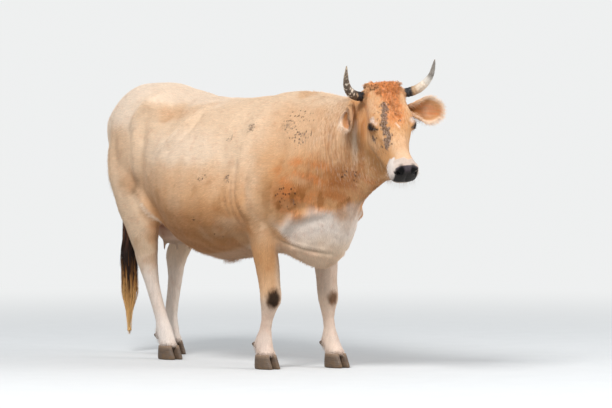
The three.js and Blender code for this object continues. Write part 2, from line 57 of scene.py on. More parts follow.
clear_stage()
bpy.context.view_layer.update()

SIDES = {"left": 1, "right": -1}
ORIGIN_Y = 0.2722                # y of the place under the girth from which "forward" is counted
SKIN_CELL = 0.0066
HEAD_CELL = 0.0028
SMALL_CELL = 0.0025
BODY_SOFTNESS = 0.016            # how far muscle and fat round off the trunk
LIMB_SOFTNESS = 0.006
FACE_SOFTNESS = 0.0045
COAT_SHARE = 1.0
RNG = np.random.default_rng(20)


# ------------------------------------------------------------------ small maths
def at(forward, side, up):
    """A point given as the cow's forward, its left side and up."""
    return np.array([side, ORIGIN_Y - forward, up])


def drawn(line):
    """A line given as forward and up, in the cow's middle plane."""
    return [at(forward, 0, up) for forward, up in line]


def smooth(low, high, value):
    """0 below low, 1 above high, and smooth between."""
    share = np.clip((value - low) / (high - low), 0, 1)
    return share * share * (3 - 2 * share)


def fall(low, high, value):
    """1 below low, 0 above high, and smooth between."""
    return 1 - smooth(low, high, value)


def unit(vectors):
    """The directions of vectors, each of length 1."""
    return vectors / np.maximum(np.linalg.norm(vectors, axis=-1, keepdims=True), 1e-9)


def mix(first, second, share):
    """The first turning into the second by a share."""
    return first + (second - first) * share


def turn(axis, degrees):
    """A turning about an axis, as a matrix."""
    return np.array(Matrix.Rotation(np.radians(degrees), 3, axis))


def inside(points, centre, reach, soft=0.6):
    """1 in the middle of an ellipsoid, falling to 0 at its rim over its soft outer share."""
    distance = np.linalg.norm((points - np.asarray(centre)) / np.asarray(reach), axis=-1)
    return fall(1 - soft, 1, distance)


def both(points):
    """The same points folded onto the cow's left side."""
    return np.stack([np.abs(points[..., 0]), points[..., 1], points[..., 2]], -1)


def curved(path, each=5):
    """More points along a smooth curve through the given ones."""
    path = np.asarray(path, float)
    ends = np.concatenate([[2 * path[0] - path[1]], path, [2 * path[-1] - path[-2]]])
    t = np.linspace(0, 1, each, endpoint=False)[:, None]
    rows = []
    for a, b, c, d in zip(ends, ends[1:], ends[2:], ends[3:]):
        rows.append(b + 0.5 * t * (c - a + t * (2 * a - 5 * b + 4 * c - d + t * (3 * (b - c) + d - a))))
    return np.concatenate(rows + [path[-1:]])


def from_path(points, path):
    """Distance from a polyline, and the share of its length at the nearest place."""
    path = np.asarray(path, float)
    lengths = np.linalg.norm(np.diff(path, axis=0), axis=1)
    start = np.concatenate([[0], np.cumsum(lengths)])
    nearest = np.full(len(points), 1e9)
    share = np.zeros(len(points))
    for i, length in enumerate(lengths):
        step = path[i + 1] - path[i]
        t = np.clip((points - path[i]) @ step / length**2, 0, 1)
        distance = np.linalg.norm(points - path[i] - t[:, None] * step, axis=1)
        closer = distance < nearest
        nearest[closer] = distance[closer]
        share[closer] = (start[i] + t[closer] * length) / start[-1]
    return nearest, share


# ------------------------------------------------------------------ landmarks
def corners(node):
    """The low and the high corner of a node's box."""
    low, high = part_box(node)
    return np.array(low), np.array(high)


def middle(node):
    return np.mean(corners(node), axis=0)


SKULL_TURN = turn("Z", -16) @ turn("Y", -4)
HEAD_TURN = turn("Z", -16) @ turn("X", 49) @ turn("Y", -4)
EYE_IN_HEAD = np.array([0.090, -0.188, -0.040])
EYE_RADIUS = 0.0215
EYES = {side: middle("eye_" + side) for side in SIDES}
POLL = (EYES["left"] + EYES["right"]) / 2 - HEAD_TURN @ (EYE_IN_HEAD * [0, 1, 1])
UDDER = middle("udder")
LEG_TOP = 0.60                   # height up to which the coat and its unwrap belong to the legs
BETWEEN_LEGS = 0.24              # y between the front and the rear legs
NECK_PLANE = at(1.03, 0, 1.06)
NECK_NORMAL = np.array([0, -0.866, 0.5])


def in_head(points):
    """Side, along the face from the poll, and height over the face line."""
    local = (points - POLL) @ HEAD_TURN
    return local[..., 0], -local[..., 1], local[..., 2]


def from_head(side, along, over):
    """The place that in_head would give as these."""
    return POLL + HEAD_TURN @ np.array([side, -along, over])


def from_udder(points):
    """Distance from the middle of the udder."""
    return np.linalg.norm(points - UDDER, axis=1)


# ------------------------------------------------------------------ flesh from the solids
class Block:
    """A box of space in regular cells, each holding how much of it is flesh."""

    def __init__(self, low, high, cell):
        self.low, self.cell = np.asarray(low, float), cell
        self.shape = tuple(np.ceil((np.asarray(high) - low) / cell).astype(int) + 1)
        self.share = np.zeros(self.shape, np.float32)

    def distance(self, node, band=4.0):
        """Metres outside the solid of a node, within a band of some cells."""
        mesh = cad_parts[node].data
        places = ((vertices_of(mesh) - self.low) / self.cell).astype(np.float32)
        near = openvdb.FloatGrid.createLevelSetFromPolygons(
            places, triangles=triangles_of(mesh).astype(np.uint32), halfWidth=band)
        cells = np.full(self.shape, band, np.float32)
        near.copyToArray(cells)
        return cells * self.cell

    def add(self, node):
        self.share += np.clip(0.5 - self.distance(node) / self.cell, 0, 1)
        np.minimum(self.share, 1, out=self.share)

    def places(self):
        """Coordinates of the cells, as three arrays that broadcast."""
        lines = [self.low[k] + self.cell * np.arange(self.shape[k], dtype=np.float32) for k in range(3)]
        return np.meshgrid(*lines, indexing="ij", sparse=True)

    def window(self, centre, reach):
        """The cells within reach of a place, as three slices."""
        first = np.maximum(np.floor((centre - reach - self.low) / self.cell).astype(int), 0)
        last = np.minimum(np.ceil((centre + reach - self.low) / self.cell).astype(int), self.shape)
        return tuple(slice(a, b) for a, b in zip(first, last))

    def points(self, window):
        lines = [self.low[k] + self.cell * np.arange(self.shape[k])[window[k]] for k in range(3)]
        return np.stack(np.meshgrid(*lines, indexing="ij"), -1)

    def blurred(self, metres, values=None):
        """The shares, or other values, softened over some metres."""
        values = self.share if values is None else values
        sigma = metres / self.cell
        reach = int(np.ceil(2.6 * sigma))
        taps = np.exp(-0.5 * (np.arange(-reach, reach + 1) / sigma) ** 2)
        taps = (taps / taps.sum()).astype(np.float32)
        for axis in range(3):
            wide = np.pad(values, [(reach, reach) if k == axis else (0, 0) for k in range(3)], mode="edge")
            values = np.zeros(self.shape, np.float32)
            for i, tap in enumerate(taps):
                values += tap * np.take(wide, range(i, i + self.shape[axis]), axis=axis)
        return values

    def surface(self, outside):
        """Points and quads of the surface where outside, a distance or the like, is nought."""
        grid = openvdb.FloatGrid(1.0)
        grid.copyFromArray(np.ascontiguousarray(outside, np.float32))
        points, quads = grid.convertToQuads(0.0)
        return self.low + points.astype(float) * self.cell, quads.astype(np.int64)


def triangles_of(mesh):
    """The three vertex numbers of each triangle."""
    mesh.calc_loop_triangles()
    corner = np.zeros(len(mesh.loop_triangles) * 3, np.int32)
    mesh.loop_triangles.foreach_get("vertices", corner)
    return corner.reshape(-1, 3)


def vertices_of(mesh):
    """The places of a mesh's vertices."""
    points = np.zeros(len(mesh.vertices) * 3, np.float32)
    mesh.vertices.foreach_get("co", points)
    return points.reshape(-1, 3).astype(float)


def normals_of(mesh):
    """The outward directions at a mesh's vertices."""
    normals = np.zeros(len(mesh.vertices) * 3, np.float32)
    mesh.vertex_normals.foreach_get("vector", normals)
    return normals.reshape(-1, 3).astype(float)


def as_distance(share, softness):
    """Metres outside the surface, from a share that was blurred by that softness."""
    share = np.clip(share, 1e-4, 1 - 1e-4)
    return (-softness / 1.702 * np.log(share / (1 - share))).astype(np.float32)


def melt(first, second, reach):
    """The nearer of two distances, with a fillet where they meet."""
    h = np.clip(0.5 + 0.5 * (second - first) / reach, 0, 1)
    return second + (first - second) * h - reach * h * (1 - h)


def mesh_from(name, points, faces, checked=True):
    """A smooth mesh from points and a list of face arrays, each of one corner count."""
    mesh = bpy.data.meshes.new(name)
    corner = np.concatenate([f.reshape(-1) for f in faces]).astype(np.int32)
    counts = np.concatenate([np.full(len(f), f.shape[1]) for f in faces])
    mesh.vertices.add(len(points))
    mesh.vertices.foreach_set("co", np.ascontiguousarray(points, np.float32).reshape(-1))
    mesh.loops.add(len(corner))
    mesh.loops.foreach_set("vertex_index", corner)
    mesh.polygons.add(len(counts))
    starts = np.concatenate([[0], np.cumsum(counts)[:-1]]).astype(np.int32)
    mesh.polygons.foreach_set("loop_start", starts)
    mesh.update(calc_edges=True)
    if checked:
        mesh.validate()
    mesh.polygons.foreach_set("use_smooth", np.ones(len(mesh.polygons), bool))
    return mesh


def face_outwards(mesh):
    """Turns all faces of a closed mesh outwards."""
    net = bmesh.new()
    net.from_mesh(mesh)
    bmesh.ops.recalc_face_normals(net, faces=net.faces[:])
    net.to_mesh(mesh)
    net.free()


# ------------------------------------------------------------------ skin
FLESH = ["trunk", "neck", "head", "udder", "tail_upper", "tail_middle", "tail_lower"]
FLESH += [kind + "leg_" + side for kind in ("fore", "hind") for side in SIDES]


def neck_side(points):
    """How far ahead of the join between the body's skin and the head's a point is."""
    return (points - NECK_PLANE) @ NECK_NORMAL


def body_surface():
    """The flesh of the trunk, the neck, the legs and the tail."""
    boxes = np.array([corners(node) for node in FLESH if node != "head"])
    block = Block(boxes[:, 0].min(0) - 0.06, boxes[:, 1].max(0) + 0.03, SKIN_CELL)
    for node in FLESH:
        block.add(node)
    x, y, z = block.places()
    rump = fall(1.03, 1.075, y)
    bag = smooth(0.10, 0.17, np.sqrt(x**2 + (y - UDDER[1]) ** 2 + (z - UDDER[2]) ** 2))
    fat = smooth(0.48, 0.64, z) * rump * bag
    share = mix(block.blurred(LIMB_SOFTNESS), block.blurred(BODY_SOFTNESS), fat)
    return block.surface(0.5 - share)


class Ear:
    """Where an ear grows and how it stands, in the level frame of the skull."""

    def __init__(self, side, root, along, hollow, length, curl):
        self.side = side
        self.root = POLL + SKULL_TURN @ np.array(root)
        self.along = unit(SKULL_TURN @ np.array(along))
        hollow = SKULL_TURN @ np.array(hollow)
        self.open = unit(hollow - self.along * (hollow @ self.along))
        self.across = np.cross(self.along, self.open)
        self.length = length
        self.curl = curl

    def local(self, points):
        """Along the ear from its root, across it, and out of its hollow side."""
        rel = points - self.root
        return rel @ self.along, rel @ self.across, rel @ self.open

    def leaf(self, points):
        """Share of the length, share of the half width, and metres out of the hollow face."""
        along, across, out = self.local(points)
        share = along / self.length
        half = np.interp(share, np.linspace(0, 1, len(EAR_LEAF)), EAR_LEAF)
        bend = mix(self.curl[0], self.curl[1], smooth(0, 0.75, share))
        radius = half / bend
        angle = np.arctan2(across, radius - out)
        return share, np.abs(angle) / bend, radius - np.hypot(across, radius - out)

    def weight(self, points):
        """1 on the ear, falling to 0 on the head around its root."""
        share, edge, inward = self.leaf(points)
        near = fall(0.011, 0.020, np.abs(inward) + 0.02 * np.maximum(edge - 1.1, 0))
        return smooth(0.016, 0.040, share * self.length) * near * (share < 1.08)


EAR_LEAF = (0.026, 0.032, 0.042, 0.054, 0.062, 0.066, 0.065, 0.058, 0.044, 0.024)    # half widths
EARS = [
    Ear("left", [0.084, 0.034, -0.105], [0.97, -0.24, -0.10], [-0.22, -0.95, 0.16], 0.196, (2.1, 0.75)),
    Ear("right", [-0.110, 0.086, -0.064], [-0.40, -0.66, -0.58], [-0.95, -0.20, 0.10], 0.176, (2.3, 1.55)),
]


class Eye:
    """An eye's place, and its own directions: gaze, towards the muzzle, and up."""
    WIDE, HIGH, LOW = 0.93, 0.60, 0.48       # opening of the lids, as sines of its angles
    IRIS, PUPIL = 0.72, (0.42, 0.24)         # half widths, as shares of the eye's radius

    def __init__(self, side):
        self.side = side
        self.centre = EYES[side]
        self.gaze = unit(HEAD_TURN @ np.array([SIDES[side] * 0.90, -0.36, 0.22]))
        ahead = HEAD_TURN @ unit(np.array([0, -1.0, 0.36]))
        self.ahead = unit(ahead - self.gaze * (ahead @ self.gaze))
        up = HEAD_TURN @ np.array([0, 0, 1.0])
        self.up = unit(up - self.gaze * (up @ self.gaze) - self.ahead * (up @ self.ahead))

    def local(self, points):
        rel = points - self.centre
        return rel @ self.gaze, rel @ self.ahead, rel @ self.up

    def opening(self, gaze, ahead, up):
        """Metres outside the almond between the lids, measured at the eye's surface."""
        far = np.sqrt(gaze**2 + ahead**2 + up**2) + 1e-6
        across, rise = ahead / far, up / far
        arch = np.clip(1 - (across / self.WIDE) ** 2, 0, 1)
        edge = np.maximum(rise - self.HIGH * arch**0.75, -rise - self.LOW * arch**0.9)
        edge = np.maximum(edge, np.abs(across) - self.WIDE)
        return np.maximum(edge * EYE_RADIUS, -gaze)


EYE_FRAMES = [Eye(side) for side in SIDES]
LID = 0.0048                     # thickness of the lids
EAR_WIDEST = 0.60                # share of an ear's length where it is widest
EAR_HALF_WIDTH = 0.067


def mouth_line(along):
    """Height, under the face line, of the line where the lips meet."""
    return mix(-0.127, -0.113, smooth(0.33, 0.43, along))


def head_surface():
    """The head with its ears, lids and mouth, and a little of the neck."""
    boxes = np.array([corners(node) for node in ("head", "ear_left", "ear_right")])
    low = boxes[:, 0].min(0) - [0.02, 0.02, 0.06]
    high = boxes[:, 1].max(0) + [0.02, 0.08, 0.02]
    block = Block(low, high, HEAD_CELL)
    for node in ("head", "neck", "trunk", "eye_left", "eye_right", "horn_left", "horn_right"):
        block.add(node)
    _, y, z = block.places()
    ahead = (y - NECK_PLANE[1]) * NECK_NORMAL[1] + (z - NECK_PLANE[2]) * NECK_NORMAL[2]
    bony = smooth(0.015, 0.10, ahead)
    share = mix(block.blurred(BODY_SOFTNESS), block.blurred(FACE_SOFTNESS), bony)
    outside = as_distance(share, mix(BODY_SOFTNESS, FACE_SOFTNESS, bony))
    for ear in EARS:
        leaf = block.blurred(0.0022, block.distance("ear_" + ear.side, band=6.0))
        window = block.window(ear.root + ear.along * ear.length, 0.09)
        along, across, _ = ear.local(block.points(window))
        beyond = np.maximum(along / ear.length - EAR_WIDEST, 0) / (1 - EAR_WIDEST)
        tip = (np.hypot(beyond, across / EAR_HALF_WIDTH) - 1) * EAR_HALF_WIDTH
        leaf[window] = -melt(-leaf[window], -tip, 0.004)
        outside = melt(outside, leaf, 0.016)
    horns = np.minimum(block.distance("horn_left"), block.distance("horn_right"))
    outside = np.maximum(outside, 0.001 - horns)
    for eye in EYE_FRAMES:
        window = block.window(eye.centre, 0.05)
        gaze, forward, up = eye.local(block.points(window))
        ball = np.sqrt(gaze**2 + forward**2 + up**2) - EYE_RADIUS - LID
        lidded = melt(outside[window], ball, 0.009)
        outside[window] = -melt(-lidded, eye.opening(gaze, forward, up), 0.002)
    window = block.window(from_head(0, 0.40, -0.09), 0.15)
    _, along, over = in_head(block.points(window))
    slit = np.maximum(np.abs(over - mouth_line(along)) - 0.0010, 0.335 - along)
    slit = np.maximum(slit, -outside[window] - 0.007)
    outside[window] = -melt(-outside[window], slit, 0.003)
    return block.surface(outside)


def trimmed(points, quads, offset, keep_ahead):
    """The part of a surface on one side of the neck plane, as points and triangles or quads."""
    mesh = mesh_from("part", points, [quads])
    net = bmesh.new()
    net.from_mesh(mesh)
    bmesh.ops.bisect_plane(net, geom=net.verts[:] + net.edges[:] + net.faces[:], dist=1e-6,
                           plane_co=NECK_PLANE + NECK_NORMAL * offset, plane_no=NECK_NORMAL,
                           clear_inner=keep_ahead, clear_outer=not keep_ahead)
    net.verts.index_update()
    edges = [edge for edge in net.edges if len(edge.link_faces) == 1]
    loop = rim_of(edges)
    faces = [[vertex.index for vertex in face.verts] for face in net.faces]
    points = np.array([vertex.co[:] for vertex in net.verts])
    net.free()
    bpy.data.meshes.remove(mesh)
    return points, faces, loop


def rim_of(edges):
    """The longest chain of vertex numbers along open edges."""
    beside = {}
    for edge in edges:
        a, b = edge.verts[0].index, edge.verts[1].index
        beside.setdefault(a, []).append(b)
        beside.setdefault(b, []).append(a)
    best = []
    while beside:
        chain = [next(iter(beside))]
        step = beside.pop(chain[0])
        while step:
            onward = [v for v in step if v in beside]
            if not onward:
                break
            chain.append(onward[0])
            step = beside.pop(onward[0])
        if len(chain) > len(best):
            best = chain
    return best


def laced(points, first, second):
    """Triangles between two rims that run round the same neck."""
    middle_of = points[first].mean(0)
    side = unit(np.cross(NECK_NORMAL, [1.0, 0, 0]))

    def turned(rim):
        """The rim from its leftmost place on, always round the same way."""
        rel = points[rim] - middle_of
        angle = np.arctan2(rel @ side, rel[:, 0])
        rim = list(np.roll(rim, -int(np.argmin(np.abs(angle)))))
        steps = np.diff(np.unwrap(np.arctan2((points[rim] - middle_of) @ side,
                                             (points[rim] - middle_of)[:, 0])))
        return rim if steps.sum() > 0 else [rim[0]] + rim[:0:-1]

    first, second = turned(first), turned(second)
    faces = []
    i = j = 0
    while i < len(first) or j < len(second):
        a, b = first[i % len(first)], second[j % len(second)]
        a_next, b_next = first[(i + 1) % len(first)], second[(j + 1) % len(second)]
        by_first = np.linalg.norm(points[a_next] - points[b])
        by_second = np.linalg.norm(points[b_next] - points[a])
        if j == len(second) or (i < len(first) and by_first < by_second):
            faces.append([a, a_next, b])
            i += 1
        else:
            faces.append([a, b_next, b])
            j += 1
    return faces


def bare_skin():
    """One closed surface of the whole flesh, from muzzle to tail."""
    body, body_faces, body_rim = trimmed(*body_surface(), -0.003, False)
    head, head_faces, head_rim = trimmed(*head_surface(), 0.003, True)
    points = np.concatenate([body, head])
    shift = len(body)
    faces = body_faces + [[v + shift for v in face] for face in head_faces]
    faces += laced(points, body_rim, [v + shift for v in head_rim])
    mesh = bpy.data.meshes.new("skin")
    mesh.from_pydata(points, [], faces)
    face_outwards(mesh)
    mesh.polygons.foreach_set("use_smooth", np.ones(len(mesh.polygons), bool))
    return mesh


# ------------------------------------------------------------------ relief of the skin
def fold(points, path, width, height):
    """A soft ridge with a groove on each side along a line drawn on the flank, as forward and up."""
    line = curved(drawn(path))
    flat = points * [0, 1, 1]
    reach = 5 * width
    near = np.all((flat > line.min(0) - reach) & (flat < line.max(0) + reach), axis=1)
    distance, share = from_path(flat[near], line)
    fade = smooth(0, 0.35, share) * fall(0.65, 1, share)
    ridge = np.exp(-((distance / width) ** 2)) - 0.30 * np.exp(-(((distance - 2.0 * width) / width) ** 2))
    high = np.zeros(len(points))
    high[near] = height * fade * ridge
    return high


FLANK_FOLDS = [                  # path as forward and up, half width, height
    ([(0.06, 1.21), (0.03, 1.174), (0.008, 1.119), (-0.032, 1.068), (-0.09, 1.016), (-0.15, 0.96)],
     0.022, 0.019),
    ([(-0.33, 1.27), (-0.353, 1.24), (-0.372, 1.194), (-0.435, 1.128), (-0.47, 1.06)], 0.028, 0.015),
    ([(-0.40, 1.14), (-0.385, 1.05), (-0.375, 0.984), (-0.385, 0.90), (-0.410, 0.79)], 0.032, 0.017),
    ([(-0.42, 0.84), (-0.38, 0.75), (-0.335, 0.68), (-0.27, 0.61), (-0.20, 0.57)], 0.022, 0.009),
    ([(0.455, 0.98), (0.436, 0.88), (0.430, 0.78), (0.446, 0.67)], 0.020, 0.014),
    ([(0.408, 0.90), (0.392, 0.82), (0.390, 0.74), (0.404, 0.64)], 0.012, 0.008),
    ([(0.362, 0.84), (0.358, 0.77), (0.366, 0.69)], 0.010, 0.005),
    ([(0.47, 1.22), (0.43, 1.12), (0.425, 1.02), (0.45, 0.92), (0.50, 0.84)], 0.030, 0.006),
    ([(0.58, 1.20), (0.68, 1.08), (0.735, 0.96), (0.73, 0.85), (0.68, 0.76)], 0.034, 0.006),
    ([(0.80, 1.16), (0.84, 1.06), (0.84, 0.94), (0.80, 0.84)], 0.022, 0.003),
    ([(0.91, 1.16), (0.94, 1.05), (0.93, 0.94), (0.88, 0.83), (0.82, 0.74)], 0.020, 0.005),
    ([(1.00, 1.14), (1.005, 1.04), (0.985, 0.94), (0.95, 0.86)], 0.015, 0.004),
    ([(0.58, 0.56), (0.64, 0.63), (0.71, 0.68), (0.80, 0.713), (0.90, 0.735)], 0.018, 0.011),
    ([(0.55, 0.60), (0.62, 0.575), (0.71, 0.553), (0.80, 0.532), (0.88, 0.525)], 0.009, -0.008),
    ([(0.86, 0.64), (0.875, 0.60), (0.87, 0.56), (0.85, 0.53)], 0.009, 0.006),
    ([(0.90, 0.68), (0.912, 0.63), (0.905, 0.59)], 0.009, 0.006),
    ([(-0.62, 1.12), (-0.655, 1.00), (-0.65, 0.88), (-0.60, 0.76)], 0.030, 0.005),
]
LUMPS = [                        # place, reach and height of muscles and bones, left side
    (at(-0.345, 0.225, 1.215), (0.07, 0.07, 0.045), 0.011),      # hip bone
    (at(-0.165, 0.215, 1.165), (0.09, 0.13, 0.040), -0.014),     # hollow behind the last rib
    (at(-0.50, 0.23, 1.10), (0.09, 0.07, 0.09), -0.005),         # between hip and pin bones
    (at(-0.775, 0.10, 1.115), (0.05, 0.05, 0.05), 0.008),        # pin bone
    (at(-0.69, 0.07, 1.20), (0.05, 0.09, 0.05), -0.007),         # beside the tail head
    (at(0.73, 0.20, 0.80), (0.08, 0.08, 0.07), 0.009),           # point of the shoulder
    (at(0.50, 0.24, 0.72), (0.08, 0.09, 0.07), 0.006),           # elbow muscle
    (at(-0.60, 0.19, 0.66), (0.06, 0.06, 0.10), 0.006),          # gaskin
    (at(0.33, 0.26, 0.92), (0.08, 0.05, 0.16), -0.006),          # behind the shoulder
    (at(-0.30, 0.25, 0.66), (0.08, 0.08, 0.07), -0.008),         # ahead of the stifle
]
LEG_LUMPS = [                    # leg, forward, side, up, reach and height
    ("foreleg_right", 0.555, 0.150, 0.318, 0.040, 0.006),
    ("foreleg_left", 0.592, 0.150, 0.330, 0.040, 0.006),
    ("foreleg_right", 0.500, 0.185, 0.322, 0.026, 0.003),
    ("foreleg_left", 0.540, 0.185, 0.326, 0.026, 0.003),
    ("hindleg_right", -0.505, 0.150, 0.478, 0.030, 0.005),
    ("hindleg_left", -0.665, 0.138, 0.492, 0.030, 0.005),
]


def ripple(points, scale, seed):
    """Soft irregular waves between -1 and 1."""
    rng = np.random.default_rng(seed)
    total = np.zeros(len(points))
    for _ in range(7):
        way = unit(rng.normal(size=3)) * 2 * np.pi / scale * rng.uniform(0.6, 1.5)
        total += np.sin(points @ way + rng.uniform(0, 7))
    return total / 4


def waves(points, scale, first_seed):
    """Three ripples, one for each direction."""
    return np.stack([ripple(points, scale, first_seed + k) for k in range(3)], -1)


def wandering(points, reach, scale, first_seed):
    """The points moved about irregularly, so that edges drawn on them aren't straight."""
    return points + reach * waves(points, scale, first_seed)


def relief(points):
    """Metres outward that the skin stands over the smooth flesh."""
    left = both(points)
    ahead = neck_side(points)
    body = fall(-0.02, 0.02, ahead)
    sides = smooth(0.02, 0.08, left[:, 0])
    high = np.zeros(len(points))
    for path, width, height in FLANK_FOLDS:
        high += fold(left, path, width, height) * sides * body
    for place, reach, height in LUMPS:
        high += height * np.exp(-(((left - place) / reach) ** 2).sum(1)) * body
    for leg, forward, side, up, reach, height in LEG_LUMPS:
        place = at(forward, side * SIDES[leg.split("_")[1]], up)
        high += height * np.exp(-(((points - place) / reach) ** 2).sum(1))
    swells = 0.0022 * ripple(points, 0.16, 3) * body * smooth(0.45, 0.6, points[:, 2])
    return high + swells + head_relief(points)


def head_relief(points):
    """Wrinkles, ridges and wings of the face."""
    ahead = smooth(0.0, 0.03, neck_side(points))
    side, along, over = in_head(points)
    wide = np.abs(side)
    face = np.stack([wide, along, over], -1)
    high = np.zeros(len(points))
    for place, reach, height in FACE_LUMPS:
        high += height * np.exp(-(((face - place) / reach) ** 2).sum(1))
    for eye in EYE_FRAMES:
        gaze, forward, up = eye.local(points)
        around = np.hypot(forward, up * 1.25)
        near = (gaze > 0) * fall(0.038, 0.056, around)
        rings = np.cos((around - 0.027 - 0.1 * forward) * 2 * np.pi / 0.010)
        above = smooth(-0.01, 0.02, up)
        high += 0.0012 * near * rings * smooth(0.021, 0.028, around) * (0.35 + 0.65 * above)
    lips = inside(face, (0.0, 0.40, -0.075), (0.09, 0.075, 0.09), 0.4)
    wrinkles = np.sin((along + 0.4 * over) * 2 * np.pi / 0.011)
    high += 0.0008 * wrinkles * smooth(0.330, 0.350, along) * fall(0.385, 0.405, along) * lips
    return high * ahead


FACE_LUMPS = [                   # place as side, along and over the face line; reach; height
    ((0.072, 0.143, 0.004), (0.024, 0.030, 0.02), 0.005),        # bone over the eye
    ((0.060, 0.235, -0.050), (0.020, 0.060, 0.014), 0.004),      # ridge of the cheek bone
    ((0.056, 0.290, -0.090), (0.020, 0.060, 0.03), -0.004),      # hollow of the cheek
    ((0.0, 0.200, 0.0), (0.022, 0.060, 0.03), -0.003),           # dish of the face
    ((0.030, 0.330, -0.018), (0.013, 0.070, 0.02), 0.002),       # edge of the nose bone
    ((0.046, 0.422, -0.040), (0.018, 0.014, 0.014), 0.004),      # wing over the nostril
    ((0.060, 0.436, -0.072), (0.010, 0.016, 0.018), 0.003),      # wing beside the nostril
    ((0.0, 0.452, -0.085), (0.006, 0.020, 0.035), -0.003),       # groove of the lip
    ((0.030, 0.400, -0.140), (0.040, 0.040, 0.014), 0.003),      # chin
]

COAT_DEPTHS = {"body": 0.0050, "leg": 0.0030, "face": 0.0024, "ear": 0.0010, "bare": 0.0006}


def ear_weight(points):
    """1 on either ear."""
    return np.max([ear.weight(points) for ear in EARS], axis=0)


def nose_pad(points):
    """1 on the bare wet skin between and around the nostrils."""
    side, along, over = in_head(points)
    edge = 0.430 + 0.16 * np.clip(np.abs(side) - 0.030, 0, 1) - 0.05 * np.clip(-over - 0.075, 0, 1)
    pad = smooth(-0.003, 0.003, along - edge) * fall(0.050, 0.057, np.abs(side))
    return pad * smooth(mouth_line(along) + 0.002, mouth_line(along) + 0.008, over)


def coat_depth(points):
    """How far the skin lies inside the tips of the coat."""
    head = smooth(-0.04, 0.10, neck_side(points))
    leg = fall(0.42, 0.62, points[:, 2])
    depth = mix(mix(COAT_DEPTHS["body"], COAT_DEPTHS["leg"], leg), COAT_DEPTHS["face"], head)
    depth = mix(depth, COAT_DEPTHS["ear"], ear_weight(points))
    tail = (points[:, 1] > 1.03) & (np.abs(points[:, 0]) < 0.06)
    depth = np.where(tail | (from_udder(points) < 0.16), COAT_DEPTHS["face"], depth)
    return mix(depth, COAT_DEPTHS["bare"], nose_pad(points))


def shaped_skin():
    """The skin with its relief, inside the solids by the coat's depth."""
    mesh = bare_skin()
    points, normals = vertices_of(mesh), normals_of(mesh)
    points += normals * (relief(points) - coat_depth(points))[:, None]
    mesh.vertices.foreach_set("co", points.astype(np.float32).reshape(-1))
    mesh.update()
    return mesh


# ------------------------------------------------------------------ markings of skin and coat, with painted light and shade
def shade(red, green, blue):
    """A colour, given as it shows on a screen in 0..255, as plain light."""
    level = np.array([red, green, blue]) / 255
    return np.where(level < 0.04045, level / 12.92, ((level + 0.055) / 1.055) ** 2.4)


CREAM = shade(252, 228, 204)
SAND = shade(238, 205, 172)
FAWN = shade(229, 184, 143)
AMBER = shade(217, 160, 106)
TAN = shade(180, 124, 72)
OCHRE = shade(170, 104, 52)
GINGER = shade(222, 132, 68)
RUST = shade(192, 108, 52)
BROWN = shade(140, 88, 41)
SMOKE = shade(106, 72, 37)
UMBER = shade(38, 25, 14)
CHALK = shade(244, 232, 223)
MILK = shade(226, 204, 188)
STONE = shade(188, 160, 131)
PINK = shade(218, 178, 156)
ASH = shade(122, 98, 84)
SLATE = shade(15, 12, 12)
PAD_REFLECTION = shade(88, 78, 84)


def over(tint, *layers):
    """Lays colours over the tint in turn, each where its mask is 1."""
    for colour, mask in layers:
        tint = tint + (colour - tint) * np.clip(mask, 0, 1)[:, None]
    return tint


def spot(points, forward, side, up, reach, soft=0.8):
    """1 inside a soft spot on the cow's own left and right alike."""
    return inside(both(points), at(forward, abs(side), up), reach, soft)


def spotted(tint, points, broken, rows):
    """Lays a table of soft spots over the tint."""
    for colour, strength, kind, place, reach, soft in rows:
        tint = over(tint, (colour, strength * broken[kind] * spot(points, *place, reach, soft)))
    return tint


# Spots of colour on both sides: the colour, how strong, what breaks it up, its place as forward, side
# and up, its reach sideways, forward and up, and how much of that reach is soft.
# Some of them are painted highlights and shade, as marked.
BACK_SPOTS = [
    (AMBER, 0.50, "even", (0.62, 0.05, 1.26), (0.30, 0.10, 0.05), 0.8),          # withers
    (CREAM, 0.50, "even", (0.02, 0.30, 1.00), (0.22, 0.42, 0.13), 0.8),          # swell of the ribs, paler: partly its own colour, partly a painted highlight
    (FAWN, 0.70, "even", (-0.165, 0.22, 1.165), (0.20, 0.20, 0.065), 1.0),       # hollow before the hip, darker: painted shade
    # more painted shade in the same hollow
    (TAN, 0.25, "even", (-0.21, 0.22, 1.150), (0.12, 0.20, 0.030), 1.0),
    (FAWN, 0.60, "even", (-0.56, 0.22, 0.98), (0.16, 0.16, 0.20), 1.0),          # thigh
    (TAN, 0.70, "even", (-0.43, 0.24, 0.84), (0.14, 0.17, 0.11), 1.0),           # front of the thigh, where it turns into shadow: painted shade
    # painted shade, mottled, low on the front of the thigh
    (SMOKE, 0.60, "mottled", (-0.43, 0.24, 0.79), (0.10, 0.10, 0.040), 1.0),
]
SHOULDER_SPOTS = [
    (SMOKE, 0.45, "even", (0.43, 0.24, 0.58), (0.10, 0.10, 0.05), 1.0),          # behind the elbow: painted shade on the belly under it
    (STONE, 0.35, "even", (0.25, 0.24, 0.62), (0.14, 0.16, 0.06), 0.8),
    (TAN, 0.60, "even", (0.76, 0.18, 0.84), (0.27, 0.26, 0.150), 1.0),           # shoulder and base of neck
    (GINGER, 0.55, "mottled", (0.80, 0.17, 0.92), (0.22, 0.26, 0.110), 1.0),
    (OCHRE, 0.60, "even", (0.74, 0.20, 0.79), (0.22, 0.18, 0.080), 1.0),
    (RUST, 0.45, "even", (0.71, 0.20, 0.80), (0.22, 0.12, 0.070), 1.0),
    (OCHRE, 0.85, "even", (0.93, 0.10, 0.86), (0.16, 0.13, 0.090), 1.0),
    (RUST, 0.50, "mottled", (0.90, 0.15, 0.85), (0.22, 0.18, 0.11), 1.0),
    (BROWN, 0.55, "patchy", (0.70, 0.235, 0.80), (0.18, 0.15, 0.090), 1.0),
    (SMOKE, 0.45, "patchy", (0.735, 0.235, 0.785), (0.11, 0.08, 0.035), 1.0),
]
